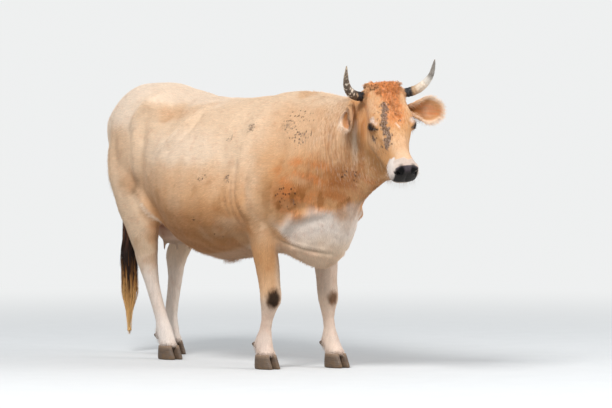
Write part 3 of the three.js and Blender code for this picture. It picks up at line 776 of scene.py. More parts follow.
LOW_SPOTS = [
    (AMBER, 0.40, "even", (0.52, 0.22, 0.72), (0.14, 0.12, 0.09), 1.0),          # above the elbow
    (BROWN, 0.55, "mottled", (0.91, 0.10, 0.83), (0.10, 0.10, 0.09), 1.0),
    (CREAM, 0.45, "even", (0.645, 0.20, 0.665), (0.055, 0.10, 0.065), 1.0),      # front of the upper leg
    (FAWN, 0.50, "even", (0.94, 0.125, 0.965), (0.08, 0.10, 0.08), 1.0),
    (FAWN, 0.40, "even", (0.776, 0.195, 0.875), (0.09, 0.10, 0.05), 1.0),
    (SAND, 0.40, "even", (0.33, 0.25, 0.67), (0.15, 0.12, 0.05), 1.0),           # side of the belly
    # painted shade low on the belly behind the elbow
    (SMOKE, 0.35, "even", (0.375, 0.20, 0.595), (0.13, 0.12, 0.035), 1.0),
    (SAND, 0.30, "even", (0.04, 0.35, 0.76), (0.14, 0.12, 0.08), 1.0),
]
# Lines on the side of the body, as forward and up, along which highlights and shade are painted.
STIFLE_HIGHLIGHT = [(-0.38, 0.73), (-0.335, 0.67), (-0.27, 0.60), (-0.20, 0.56)]
CHEST_CREASE = [(0.56, 0.597), (0.62, 0.575), (0.71, 0.553), (0.80, 0.532), (0.88, 0.525)]
JAW_HIGHLIGHT = [(1.074, 1.150), (1.068, 1.094), (1.056, 1.005), (1.034, 0.940), (1.010, 0.89)]


def body_tint(points):
    """Markings of the trunk, the neck, the udder, the tail and the legs, with painted highlights and shade
    where marked.
    """
    drift = wandering(points, 0.020, 0.11, 5)
    mottle = smooth(-0.5, 0.9, ripple(points, 0.060, 8) + 0.6 * ripple(points, 0.022, 9))
    patchy = smooth(0.05, 0.75, ripple(points, 0.090, 31) + 0.7 * ripple(points, 0.035, 32))
    broken = {"even": 1.0, "mottled": mottle, "patchy": patchy}
    forward, up = ORIGIN_Y - drift[:, 1], drift[:, 2]
    rear_part = smooth(-0.41, -0.31, forward) * fall(0.44, 0.52, forward)
    distance, share = from_path(points * [0, 1, 1], drawn(STIFLE_HIGHLIGHT))
    tint = over(
        np.tile(SAND, (len(points), 1)),
        (FAWN, 0.9 * smooth(0.40, 0.62, forward) * fall(1.16, 1.24, up)),
        # darker low on the front: partly its own colour, partly painted shade
        (AMBER, 0.7 * smooth(0.46, 0.66, forward) * fall(0.92, 1.08, up)),
        # paler on top of the rump and the back: partly their own colour, partly a painted highlight from
        # above
        (CREAM, 0.95 * smooth(0.36, 0.52, -forward) * smooth(1.04, 1.13, up)),
        (CREAM, 0.6 * smooth(1.17, 1.23, up) * fall(0.0, 0.3, forward)))
    tint = spotted(tint, drift, broken, BACK_SPOTS)
    tint = over(
        tint,
        # darker towards the belly: partly the coat's own colour, partly painted shade under the barrel
        (FAWN, 0.9 * fall(0.84, 0.98, up) * rear_part),
        (AMBER, 0.60 * fall(0.72, 0.88, up) * rear_part),
        (TAN, 0.72 * fall(0.60, 0.80, up) * rear_part * (0.7 + 0.3 * mottle)),
        (OCHRE, 0.35 * fall(0.64, 0.82, up) * rear_part),
        (BROWN, 0.22 * mottle * fall(0.60, 0.76, up) * rear_part),
        # a painted highlight along the lit edge of the stifle fold
        (CREAM, 0.6 * fall(0.004, 0.012, distance) * fall(0.7, 1.0, share)))
    tint = spotted(tint, drift, broken, SHOULDER_SPOTS)
    # Darker low on the front and under the flank: partly the coat's own colour, partly painted shade.
    low_front = smooth(0.60, 0.72, forward) * fall(0.90, 1.02, up)
    tint = over(
        tint,
        (TAN, 0.35 * patchy * fall(0.78, 0.92, up) * smooth(-0.30, -0.10, forward)),
        (OCHRE, (0.15 + 0.50 * patchy) * low_front),
        (GINGER, 0.45 * mottle * (1 - patchy) * low_front),
        (BROWN, 0.55 * patchy * mottle * low_front * fall(0.80, 0.90, up)))
    tint = spotted(tint, drift, broken, LOW_SPOTS)
    tint = chest_tint(points, drift, tint, mottle)
    return legs_tint(points, drift, rear_tint(points, drift, tint))


def chest_tint(points, drift, tint, mottle):
    """The pale chest with painted shade in its crease, and the ginger keel under it."""
    forward, up = ORIGIN_Y - drift[:, 1], drift[:, 2]
    neck_low = spot(drift, 0.99, 0.07, 0.88, (0.15, 0.14, 0.12))
    chest = smooth(0.60, 0.68, forward) * fall(0.655, 0.725, up - 0.25 * (forward - 0.75))
    edge_of_dewlap = chest * smooth(0.86, 0.93, forward)
    keel = smooth(0.54, 0.60, forward) * fall(0.535, 0.560, points[:, 2] + 0.25 * (forward - 0.71))
    distance, share = from_path(points * [0, 1, 1], drawn(CHEST_CREASE))
    crease = fall(0.002, 0.009, distance) * smooth(0.0, 0.1, share) * fall(0.75, 1, share)
    return over(
        tint,
        (ASH, 0.35 * neck_low * mottle),
        (CHALK, 0.95 * chest),
        (STONE, 0.12 * chest * mottle),
        (CREAM, 0.22 * chest),
        (TAN, 0.55 * spot(drift, 0.90, 0.06, 0.715, (0.07, 0.09, 0.045), 1.0)),
        (AMBER, 0.30 * edge_of_dewlap),
        (GINGER, 0.60 * keel),
        (BROWN, 0.35 * keel * mottle),
        # painted shade in the crease
        (SMOKE, 0.75 * crease),
        (GINGER, 0.25 * mottle * spot(drift, 0.92, 0.12, 1.02, (0.05, 0.080, 0.15))))


def rear_tint(points, drift, tint):
    """The pale rump, partly painted light, what lies under the tail, the udder with painted shade low on
    it, and the tail itself.
    """
    forward = ORIGIN_Y - drift[:, 1]
    patch = inside(drift, at(-0.80, 0, 1.10), (0.10, 0.10, 0.13), 0.7)
    bag = fall(0.12, 0.17, from_udder(points))
    teat = bag * fall(0.545, 0.565, points[:, 2])
    tail = smooth(1.05, 1.08, points[:, 1]) * fall(0.045, 0.06, np.abs(points[:, 0]))
    tail_colour = mix(BROWN, SAND, smooth(0.72, 0.95, points[:, 2])[:, None])
    return over(
        tint,
        # paler rear of the rump: partly its own colour, partly painted light where the rear faces the light
        (CREAM, 0.75 * smooth(0.66, 0.74, -forward)),
        (BROWN, 0.75 * patch),
        (PINK, 0.9 * bag),
        # painted shade low on the udder
        (SMOKE, 0.6 * teat),
        (tail_colour, tail))


KNEES = [                        # dark patches: place, reach and how dark
    (at(0.560, -0.172, 0.318), (0.046, 0.050, 0.068), 0.95),
    (at(0.604, 0.142, 0.316), (0.038, 0.036, 0.050), 0.45),
]


def legs_tint(points, drift, tint):
    """The paler legs with dark knees and dirty feet; painted shade darkens the outer sides and painted
    light lifts the inner sides and the left foreleg.
    """
    up = drift[:, 2]
    forward = ORIGIN_Y - points[:, 1]
    legs = fall(0.52, 0.66, up)
    fore = legs * smooth(0.30, 0.34, forward)
    hind = legs * fall(-0.30, -0.24, forward)
    outer = smooth(0.135, 0.175, np.abs(points[:, 0]))
    tint = over(
        tint,
        (SAND, 0.8 * fore),
        # darker outer sides: partly the coat's own colour, partly painted shade
        (TAN, 0.75 * fore * smooth(0.36, 0.48, up) * outer),
        (AMBER, 0.50 * fore * smooth(0.28, 0.40, up) * outer),
        # painted light: the whole left foreleg paler than the right
        (MILK, 0.80 * fore * smooth(0.04, 0.10, points[:, 0]) * smooth(0.28, 0.36, up)),
        (MILK, 0.75 * fore * fall(0.26, 0.38, up)),
        (PINK, 0.35 * fore * fall(0.22, 0.32, up)),
        (SAND, 0.65 * hind * smooth(0.54, 0.62, up)),
        (STONE, 0.35 * hind * fall(0.52, 0.60, up)),
        (CHALK, 0.75 * hind * fall(0.34, 0.52, up)),
        (CHALK, (0.35 * fore + 0.95 * hind) * fall(0.14, 0.24, up)),
        (TAN, 0.25 * legs * smooth(0.2, 0.9, ripple(points, 0.07, 12)) * smooth(0.2, 0.5, up)),
        # paler inner sides: partly their own colour, partly painted light
        (CREAM, 0.25 * legs * (1 - outer)))
    wobble = wandering(points, 0.006, 0.03, 15)
    for place, reach, dark in KNEES:
        tint = over(
            tint,
            (BROWN, 0.80 * inside(wobble, place, np.array(reach) * 1.15, 0.6)),
            (UMBER, dark * inside(wobble, place, reach, 0.55)))
    dirt = fall(0.045, 0.095, points[:, 2] + 0.02 * ripple(points, 0.04, 13))
    return over(tint, (BROWN, 0.45 * dirt))


def head_tint(points):
    """Markings of the head, with painted shade under the jaw, at the corners of the eyes and in the
    nostrils, a painted highlight on the upper lids and a painted reflection on the wet pad.
    """
    drift = wandering(points, 0.008, 0.045, 21)
    mottle = smooth(-0.4, 0.8, ripple(points, 0.030, 18) + 0.6 * ripple(points, 0.012, 19))
    side, along, over_face = in_head(drift)
    wide = np.abs(side)
    face = np.stack([wide, along, over_face], -1)
    tint = np.tile(AMBER, (len(points), 1))
    forehead = fall(0.14, 0.24, along) * smooth(-0.10, -0.05, over_face)
    tint = over(
        tint,
        (FAWN, 0.40 * forehead),
        (GINGER, 0.35 * mottle * forehead))
    strip = smooth(-0.09, -0.04, along) * fall(0.17, 0.24, along)
    tint = over(tint, (GINGER, 0.62 * strip * fall(0.022, 0.062, np.abs(side - 0.008))))
    crown = smooth(-0.09, -0.04, along) * fall(0.02, 0.10, along)
    tint = over(
        tint,
        (GINGER, 0.50 * crown * fall(0.045, 0.070, wide)),
        (RUST, 0.28 * mottle * strip * fall(0.020, 0.060, wide)),
        (GINGER, 0.40 * mottle * inside(face, (0.030, 0.15, 0.0), (0.040, 0.10, 0.05), 0.8)),
        (FAWN, 0.70 * inside(face, (0.082, 0.105, -0.01), (0.040, 0.060, 0.06), 0.8)),
        (FAWN, 0.85 * smooth(0.20, 0.30, along) * smooth(-0.075, -0.025, over_face)),
        (SAND, 0.50 * smooth(0.30, 0.37, along) * smooth(-0.050, -0.015, over_face)),
        (ASH, 0.35 * mottle * inside(face, (0.080, 0.27, -0.12), (0.05, 0.09, 0.06), 0.8)),
        (TAN, 0.45 * inside(face, (0.078, 0.25, -0.17), (0.05, 0.12, 0.06), 0.8)),
        (FAWN, 0.55 * inside(face, (0.090, 0.22, -0.11), (0.05, 0.10, 0.06), 0.9)),
        # painted shade under the jaw
        (SMOKE, 0.60 * fall(-0.18, -0.12, over_face) * fall(0.30, 0.38, along)))
    for eye in EYE_FRAMES:
        gaze, ahead, up = eye.local(drift)
        facing, beside = smooth(0, 0.006, gaze), smooth(-0.020, -0.010, gaze)
        plane = np.stack([ahead, up], -1)
        near = facing * fall(0.026, 0.032, np.hypot(ahead, up))
        edge = eye.opening(*eye.local(points))
        tint = over(
            tint,
            # pale hair over the eye, partly a painted highlight on the fold of the lid
            (MILK, 0.85 * beside * inside(plane, (-0.008, 0.022), (0.036, 0.016), 0.8)),
            (ASH, 0.40 * facing * inside(plane, (0.010, -0.030), (0.034, 0.016), 0.8)),
            (STONE, 0.45 * facing * inside(plane, (0.000, -0.046), (0.036, 0.014), 0.8)),
            (SMOKE, 0.70 * near * fall(0.0040, 0.0085, edge) * (edge > 0)),
            (UMBER, 0.95 * near * fall(0.0020, 0.0050, edge)),
            # painted shade at the front and rear corners of the eye
            (SMOKE, 0.50 * facing * inside(plane, (0.027, -0.011), (0.014, 0.007), 0.8)),
            (SMOKE, 0.45 * facing * inside(plane, (-0.030, 0.008), (0.016, 0.007), 0.8)))
    scar = inside(np.stack([side, along, over_face], -1), (0.010, 0.212, 0.0), (0.010, 0.018, 0.03), 0.7)
    tint = over(tint, (CREAM, 0.75 * scar))
    lower = smooth(0.020, 0.075, -over_face)
    ring = smooth(mix(0.386, 0.342, lower), mix(0.398, 0.358, lower), along)
    ring *= smooth(-0.165, -0.135, over_face + 0.35 * (along - 0.36))
    tint = over(
        tint,
        (CHALK, 0.96 * ring),
        (MILK, 0.80 * ring * smooth(-0.06, -0.02, over_face)),
        (ASH, 0.22 * ring * smooth(-0.05, -0.02, over_face)))
    chin = smooth(0.375, 0.40, along) * fall(-0.120, -0.112, over_face)
    tint = over(
        tint,
        (CHALK, 0.75 * chin),
        (PINK, 0.30 * chin))
    side, along, over_face = in_head(points)
    wide = np.abs(side)
    pad = nose_pad(points)
    tint = over(
        tint,
        (SLATE, 0.97 * pad),
        # painted reflection of the sky on the upper, wet part of the pad
        (PAD_REFLECTION, 0.75 * pad * smooth(-0.052, -0.028, over_face)))
    # Painted shade in the openings of the nostrils.
    slanting = np.stack([wide, over_face + 0.5 * (wide - 0.036)], -1)
    nostril_shade = inside(slanting, (0.033, -0.046), (0.023, 0.025), 0.4)
    tint = over(tint, (SLATE * 0.2, 0.98 * nostril_shade * smooth(0.415, 0.425, along)))
    lip = np.abs(over_face - mouth_line(along)) < 0.003
    return over(tint, (SLATE, 0.6 * lip * smooth(0.33, 0.345, along)))


def ear_tint(points, tint):
    """The ears, warm inside with a pale rim, and painted shade deep in the hollow and at its opening."""
    for ear in EARS:
        _, across, _ = ear.local(points)
        share, edge, inward = ear.leaf(points)
        weight = ear.weight(points)
        tip = np.hypot(np.maximum(share - EAR_WIDEST, 0) / (1 - EAR_WIDEST), across / EAR_HALF_WIDTH)
        rim = np.maximum(edge, tip)
        hollow = weight * smooth(-0.001, 0.003, inward) * (share < 1.05)
        streak = smooth(-0.2, 0.8, ripple(np.stack([share * 0.02, across, 0 * share], -1), 0.010, 24))
        tint = over(
            tint,
            (FAWN, weight),
            (AMBER, 0.70 * weight * fall(0.3, 0.8, share)),
            (AMBER, 0.85 * hollow * fall(0.60, 0.95, rim)),
            # darker deep in the hollow: partly its own colour, partly painted shade
            (TAN, 0.85 * hollow * fall(0.50, 0.90, rim) * fall(0.45, 0.85, share)),
            (OCHRE, 0.35 * hollow * fall(0.60, 0.95, rim)),
            (PINK, 0.35 * hollow * fall(0.30, 0.75, rim) * smooth(0.3, 0.6, share)),
            (GINGER, 0.45 * hollow * streak * (rim < 0.9)),
            (RUST, 0.40 * hollow * inside(np.stack([share, edge], -1), (0.72, 0.15), (0.12, 0.25))),
            (CREAM, 0.80 * hollow * smooth(0.70, 0.95, rim)),
            # painted shade in the opening of the ear
            (UMBER, 0.60 * hollow * fall(0.20, 0.36, share) * fall(0.25, 0.60, edge)))
    return tint


def tint_of(points):
    """Colour of skin and coat at any place, painted light and shade included."""
    tint = body_tint(points)
    ahead = smooth(-0.03, 0.07, neck_side(points))
    tint = tint + (head_tint(points) - tint) * ahead[:, None]
    distance, share = from_path(both(points) * [0, 1, 1], curved(drawn(JAW_HIGHLIGHT)))
    beside = smooth(0.045, 0.060, np.abs(points[:, 0])) * smooth(0, 0.12, share) * fall(0.5, 1, share)
    wobble = 0.006 * ripple(points, 0.05, 29)
    # A painted highlight along the back of the jaw, with a band of painted shade beside it.
    tint = over(
        tint,
        (OCHRE, 0.45 * beside * smooth(0.016, 0.030, distance) * fall(0.040, 0.065, distance)),
        (CREAM, 0.42 * beside * fall(0.004, 0.020, distance + wobble)))
    return ear_tint(points, tint)


SPECKS = [                       # flecks of dry mud: place, reach, how thick they lie
    (at(0.67, -0.15, 1.115), (0.10, 0.095, 0.055), 0.66),
    (at(0.76, -0.16, 1.060), (0.10, 0.105, 0.065), 0.64),
    (at(0.71, -0.15, 1.14), (0.12, 0.170, 0.085), 0.50),
    (at(0.435, -0.203, 1.097), (0.08, 0.026, 0.050), 0.74),
    (at(0.325, -0.241, 1.049), (0.08, 0.020, 0.036), 0.72),
    (at(0.355, -0.290, 0.866), (0.08, 0.030, 0.036), 0.76),
    (at(0.215, -0.310, 0.868), (0.08, 0.050, 0.028), 0.66),
    (at(0.15, -0.324, 0.680), (0.10, 0.050, 0.022), 0.55),
    (at(0.24, -0.25, 0.600), (0.10, 0.050, 0.022), 0.50),
    (at(0.741, -0.212, 0.777), (0.10, 0.030, 0.020), 0.72),
    (at(0.72, -0.22, 0.80), (0.10, 0.12, 0.09), 0.45),
    (at(0.99, -0.07, 0.90), (0.10, 0.09, 0.06), 0.60),
    (at(0.70, 0.16, 1.05), (0.12, 0.12, 0.09), 0.45),
    (at(-0.55, 0.24, 0.90), (0.12, 0.13, 0.11), 0.45),
]
SMEAR = [                        # mud down the face, as side, along and over the face line
    (-0.030, 0.112, 0.012), (-0.038, 0.145, 0.006), (-0.044, 0.180, -0.006), (-0.052, 0.210, -0.018),
    (-0.046, 0.240, -0.018), (-0.047, 0.268, -0.026), (-0.060, 0.296, -0.060),
]
CAKES = [                        # mud beside it: side, along and over the face line, reach, how thick
    ((-0.030, 0.130, 0.010), (0.042, 0.036, 0.03), 0.92),
    ((-0.060, 0.140, 0.000), (0.026, 0.014, 0.02), 0.84),
    ((-0.066, 0.175, -0.012), (0.014, 0.034, 0.02), 0.84),
    ((-0.086, 0.222, -0.085), (0.030, 0.048, 0.034), 0.92),
    ((-0.072, 0.275, -0.075), (0.030, 0.038, 0.034), 0.84),
    ((0.028, 0.195, 0.000), (0.016, 0.030, 0.03), 0.86),
    ((-0.068, 0.320, -0.110), (0.034, 0.034, 0.03), 0.78),
]


def mud_of(points):
    """How thickly mud lies, 0 to 1."""
    mud = np.zeros(len(points))
    for place, reach, most in SPECKS:
        mud = np.maximum(mud, most * inside(points, place, reach, 0.7))
    face = np.stack(in_head(wandering(points, 0.006, 0.02, 25)), -1)
    distance, share = from_path(face, curved(SMEAR))
    width = mix(0.026, 0.032, smooth(0.2, 0.8, share)) * (0.85 + 0.3 * ripple(points, 0.03, 28))
    mud = np.maximum(mud, 0.95 * fall(0.35, 1.2, distance / np.maximum(width, 0.010)))
    for place, reach, most in CAKES:
        mud = np.maximum(mud, most * inside(face, place, reach, 0.9))
    return mud


def streaky(points):
    """1 on the sides of the neck, where the hair lies in long fine lines, and less on the face."""
    forward, up = ORIGIN_Y - points[:, 1], points[:, 2]
    neck = smooth(0.74, 0.90, forward) * fall(1.20, 1.26, up) * smooth(0.80, 0.88, up)
    face = smooth(0.0, 0.05, neck_side(points))
    along = in_head(points)[1]
    return mix(neck, 0.65 * fall(0.28, 0.36, along), face) * (1 - ear_weight(points))


def paint(mesh, places, each=1, **values):
    """Stores the markings on a mesh, looked up at the places, each for as many vertices in turn."""
    tint = np.ones((len(places), 4), np.float32)
    tint[:, :3] = tint_of(places)
    layer = mesh.color_attributes.new("tint", "FLOAT_COLOR", "POINT")
    layer.data.foreach_set("color", np.repeat(tint, each, axis=0).reshape(-1))
    store(mesh, "mud", np.repeat(mud_of(places), each))
    store(mesh, "upright", np.repeat(upright(places), each))
    store(mesh, "streaky", np.repeat(streaky(places), each))
    for name, numbers in values.items():
        store(mesh, name, numbers)


def store(mesh, name, numbers):
    """Stores a number for each vertex of a mesh."""
    layer = mesh.attributes.new(name, "FLOAT", "POINT")
    layer.data.foreach_set("value", np.asarray(numbers, np.float32))


# ------------------------------------------------------------------ lie of the coat
BODY_FLOW = unit(np.array([0, 1.0, -0.45]))
DOWN_FLOW = unit(np.array([0, 0.25, -1.0]))
WHORL_ALONG = 0.15               # the hair of the face turns both ways from here


def upright(points):
    """1 where the hair runs down, 0 where it runs back along the body."""
    forward, up = ORIGIN_Y - points[:, 1], points[:, 2]
    neck = smooth(0.52, 0.85, forward)
    rump = smooth(0.55, 0.75, -forward)
    legs = fall(0.50, 0.68, up)
    return np.maximum(np.maximum(neck, rump), legs)


def lie_of(points, normals):
    """Directions of the hair along the skin."""
    flow = mix(BODY_FLOW, DOWN_FLOW, upright(points)[:, None])
    side, along, above = in_head(points)
    from_whorl = np.stack([0.6 * side, -(along - WHORL_ALONG), np.zeros(len(points))], -1)
    jaw = np.array([0, 0.6, -0.8])
    spread = mix(unit(from_whorl), jaw, fall(-0.13, -0.08, above)[:, None])
    head = smooth(-0.02, 0.05, neck_side(points))[:, None]
    flow = mix(flow, spread @ HEAD_TURN.T, head)
    for ear in EARS:
        _, across, _ = ear.local(points)
        fan = ear.along + ear.across * (across / 0.08)[:, None]
        flow = mix(flow, fan, ear.weight(points)[:, None])
    flow = flow + 0.10 * waves(points, 0.09, 31)
    return unit(flow - normals * (flow * normals).sum(1)[:, None])


# ------------------------------------------------------------------ unwrap of the skin, for the coat
class Chart:
    """A stretch of the body rolled flat: lengthways along an axis, and round it."""

    def __init__(self, corner, size, centre, axis, start, length):
        self.corner, self.size = np.array(corner), np.array(size)
        self.centre, self.axis = np.asarray(centre, float), unit(np.asarray(axis, float))
        self.start, self.length = start, length
        helper = np.array([1.0, 0, 0]) if abs(self.axis[0]) < 0.8 else np.array([0, 1.0, 0])
        self.first = unit(np.cross(self.axis, helper))
        self.second = np.cross(self.axis, self.first)

    def spread(self, points):
        rel = points - self.centre
        along = np.clip((rel @ self.axis - self.start) / self.length, 0, 1)
        around = np.arctan2(rel @ self.second, rel @ self.first) / (2 * np.pi) + 0.5
        return self.corner + self.size * np.stack([along, around], -1)


def charts():
    """The charts of the whole skin, each with the test for what lies on it, the last found first."""
    trunk = Chart((0.01, 0.01), (0.60, 0.60), (0, 0, 0.85), (0, 1, 0), -0.85, 2.0)
    made = [(trunk, lambda p: p[:, 2] > -1)]
    row = 0
    for kind in ("fore", "hind"):
        for side, sign in SIDES.items():
            low, high = corners(kind + "leg_" + side)
            centre = (low + high) / 2
            chart = Chart((0.01 + 0.24 * row, 0.65), (0.22, 0.33), centre, (0, 0, -1), -0.42, 0.84)

            def holds(p, sign=sign, near=centre[1]):
                return (p[:, 2] < LEG_TOP) & (p[:, 0] * sign > 0) & (np.abs(p[:, 1] - near) < 0.30)

            made.append((chart, holds))
            row += 1
    face = HEAD_TURN @ np.array([0, -1.0, 0])
    skull = from_head(0, 0, -0.08)
    made.append((Chart((0.64, 0.01), (0.34, 0.36), skull, face, -0.10, 0.60), lambda p: neck_side(p) > 0))
    for i, ear in enumerate(EARS):
        chart = Chart((0.64 + 0.18 * i, 0.40), (0.16, 0.10), ear.root, ear.along, 0, 0.20)
        made.append((chart, lambda p, ear=ear: ear.weight(p) > 0.5))
    tail = Chart((0.64, 0.52), (0.34, 0.10), (0, 1.105, 0.9), (0, 0, -1), -0.35, 1.2)
    made.append((tail, lambda p: (p[:, 1] > 1.04) & (np.abs(p[:, 0]) < 0.06)))
    return made


CHARTS = charts()


def unwrapped(points):
    """The place of each point on the flat unwrap of the skin."""
    places = np.zeros((len(points), 2))
    for chart, holds in CHARTS:
        here = holds(points)
        places[here] = chart.spread(points[here])
    return places


# ------------------------------------------------------------------ tufts
UV_PATCH = 0.003


class Hide:
    """The skin as plain arrays, on which hair is rooted."""

    def __init__(self, mesh):
        self.faces = triangles_of(mesh)
        self.points, self.normals = vertices_of(mesh), normals_of(mesh)
        corners_of = self.points[self.faces]
        self.centres = corners_of.mean(1)
        edges = corners_of[:, 1:] - corners_of[:, :1]
        self.areas = 0.5 * np.linalg.norm(np.cross(edges[:, 0], edges[:, 1]), axis=1)
        self.facing = unit(self.normals[self.faces].mean(1))

    def roots(self, count, where):
        """Places scattered evenly by area times a weight for each face, with their normals."""
        count = int(count * COAT_SHARE)
        total = np.cumsum(self.areas * where)
        steps = (np.arange(count) + RNG.random(count)) / count * total[-1]
        face = self.faces[np.searchsorted(total, steps)]
        a, b = RNG.random((2, count, 1))
        fold_back = a + b > 1
        a, b = np.where(fold_back, 1 - a, a), np.where(fold_back, 1 - b, b)
        shares = [1 - a - b, a, b]
        points = sum(share * self.points[face[:, k]] for k, share in enumerate(shares))
        normals = sum(share * self.normals[face[:, k]] for k, share in enumerate(shares))
        return points, unit(normals)


HAIR_CORNERS = np.radians([90, -30, -150])       # a hair's section: a ridge on top and two edges below


def strands(name, lines, normals, width, thin=0.5, soften=0.75, places=None, shades=None, **values):
    """A mesh of tapered three-sided hairs along centre-lines, an array of hair, point and xyz."""
    count, steps = lines.shape[:2]
    places = lines[:, 0] if places is None else places
    run = unit(np.gradient(lines, axis=1))
    across = unit(np.cross(run, normals[:, None]))
    up = np.cross(across, run)
    share = np.linspace(0, 1, steps)
    half = (1 - share**1.6)[None, :, None] * np.broadcast_to(width, count)[:, None, None] / 2
    rings = [lines + half * (np.cos(a) * across + thin * np.sin(a) * up) for a in HAIR_CORNERS]
    sides = [np.cos(a) * across + np.sin(a) * up for a in HAIR_CORNERS]

    def stacked(parts, tip):
        along = np.stack([part[:, :-1] for part in parts], 2).reshape(count, -1, 3)
        return np.concatenate([along, tip], 1)

    points = stacked(rings, lines[:, -1:])
    outward = stacked(sides, normals[:, None])
    each = points.shape[1]
    last = each - 4
    first = np.arange(count)[:, None, None] * each
    ends = [[2, 1, 0]] + [[last + k, last + (k + 1) % 3, each - 1] for k in range(3)]
    faces = [(first + np.array(ends)).reshape(-1, 3)]
    if steps > 2:
        walls = [[low + k, low + (k + 1) % 3, low + 3 + (k + 1) % 3, low + 3 + k]
                 for low in range(0, last, 3) for k in range(3)]
        faces.append((first + np.array(walls)).reshape(-1, 4))
    mesh = mesh_from(name, points.reshape(-1, 3), faces, checked=False)
    shown = unit(soften * normals[:, None] + (1 - soften) * outward)
    mesh.normals_split_custom_set_from_vertices(shown.reshape(-1, 3))
    ring_of = np.append(np.repeat(share[:-1], 3), 1.0)
    corner_of = np.append(np.tile([0.0, 0.5, -0.5], steps - 1), 0.0)
    patch = np.stack([corner_of, ring_of - 0.5], -1) * UV_PATCH
    lay_out(mesh, (unwrapped(places)[:, None] + patch).reshape(-1, 2))
    values["rise"] = np.tile(ring_of, count)
    values["strand"] = np.repeat(RNG.random(count) if shades is None else shades, each)
    paint(mesh, places, each, **values)
    return mesh


def lay_out(mesh, spots):
    """Gives a mesh the map that its baked colours use, from a place for each vertex."""
    corner = np.zeros(len(mesh.loops), np.int32)
    mesh.loops.foreach_get("vertex_index", corner)
    layer = mesh.uv_layers.new(name="OFBake")
    layer.data.foreach_set("uv", spots[corner].astype(np.float32).reshape(-1))


def add_piece(mesh, finish, slot, *replaced):
    """Puts a mesh in the scene with its finish, standing for the nodes that it replaces."""
    piece = bpy.data.objects.new(mesh.name, mesh)
    bpy.context.scene.collection.objects.link(piece)
    mesh.materials.clear()
    mesh.materials.append(finish)
    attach(piece, "root")
    if replaced:
        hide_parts(*replaced)
    return piece


def turned_about(vectors, axes, angles):
    """Vectors turned about unit axes, each by its own angle in radians."""
    cos, sin = np.cos(angles)[:, None], np.sin(angles)[:, None]
    return vectors * cos + np.cross(axes, vectors) * sin


def zone_values(points, body, leg, face, ear, bare):
    """A number that differs from zone to zone, melting from one into the next."""
    head = smooth(-0.02, 0.06, neck_side(points))
    number = mix(body, leg, fall(0.42, 0.66, points[:, 2]))
    number = mix(number, face, head)
    number = mix(number, ear, ear_weight(points))
    number = mix(number, bare, head * smooth(0.33, 0.37, in_head(points)[1]))
    return np.where(from_udder(points) < 0.15, bare, number)


def no_hair(points):
    """1 where nothing grows: the wet pad, the lips and inside the lids."""
    _, along, above = in_head(points)
    bald = nose_pad(points)
    bald = np.maximum(bald, (np.abs(above - mouth_line(along)) < 0.004) * (along > 0.335))
    for eye in EYE_FRAMES:
        gaze, ahead, up = eye.local(points)
        bald = np.maximum(bald, (eye.opening(gaze, ahead, up) < 0.0022) * (gaze > 0) * (gaze < 0.04))
    return bald


# Pieces of the short coat, each with the test for what lies in it.
REGIONS = {
    "coat_head": lambda p: (neck_side(p) > 0) & (ear_weight(p) < 0.5),
    "coat_ears": lambda p: ear_weight(p) >= 0.5,
    "coat_legs_front": lambda p: (neck_side(p) <= 0) & (p[:, 2] < LEG_TOP) & (p[:, 1] < BETWEEN_LEGS),
    "coat_legs_rear": lambda p: (p[:, 2] < LEG_TOP) & (p[:, 1] >= BETWEEN_LEGS),
}
BODY_PARTS = [("neck", -9, -0.36), ("shoulder", -0.36, 0.0), ("barrel", 0.0, 0.42), ("rump", 0.42, 9)]


def body_region(sign, first, last):
    """The test for a stretch of one side of the body, between two places along it."""
    return lambda p: ((neck_side(p) <= 0) & (p[:, 2] >= LEG_TOP) & (p[:, 0] * sign > 0)
                      & (p[:, 1] > first) & (p[:, 1] <= last))


for side, sign in SIDES.items():
    for part, first, last in BODY_PARTS:
        REGIONS["coat_%s_%s" % (part, side)] = body_region(sign, first, last)


# Numbers of the short coat on the body, the legs, the face, the ears and the bare places.
COAT_TUFTS = (38000, 40000, 100000, 90000, 100000)      # on a square metre
COAT_LENGTHS = (0.018, 0.013, 0.0085, 0.011, 0.0045)


def short_coat(hide, finish):
    """Fine tufts that lie along the skin everywhere but the bare places."""
    dense = zone_values(hide.centres, *COAT_TUFTS) * (1 - no_hair(hide.centres))
    dense *= mix(1.0, 0.4, from_udder(hide.centres) < 0.15)
    for name, holds in REGIONS.items():
        where = dense * holds(hide.centres)
        points, normals = hide.roots(int((where * hide.areas).sum()), where)
        count = len(points)
        length = zone_values(points, *COAT_LENGTHS) * RNG.uniform(0.7, 1.25, count)
        away = turned_about(lie_of(points, normals), normals, RNG.normal(0, 0.11, count))
        lift = np.sin(RNG.uniform(0.05, 0.15, count))[:, None]
        tips = points + length[:, None] * (away + normals * lift)
        roots = points - normals * 0.0008
        mesh = strands(name, np.stack([roots, tips], 1), normals, length * 0.16, thin=0.4)
        print(name, count, "tufts")
        add_piece(mesh, finish, "coat")


# ------------------------------------------------------------------ shader maths
class Value:
    """A socket of a node, with Python's operators adding Math nodes."""

    def __init__(self, nodes, socket):
        self.nodes, self.socket = nodes, socket

    def __add__(self, other):
        return self.nodes.maths("ADD", self, other)

    def __mul__(self, other):
        return self.nodes.maths("MULTIPLY", self, other)

    def __sub__(self, other):
        return self.nodes.maths("SUBTRACT", self, other)

    def __rsub__(self, other):
        return self.nodes.maths("SUBTRACT", other, self)

    __radd__, __rmul__ = __add__, __mul__

    def ramp(self, low, high):
        """0 below low, 1 above high, and smooth between."""
        inputs = {"Value": self, "From Min": low, "From Max": high}
        return self.nodes.node("ShaderNodeMapRange", {"interpolation_type": "SMOOTHSTEP"}, inputs)


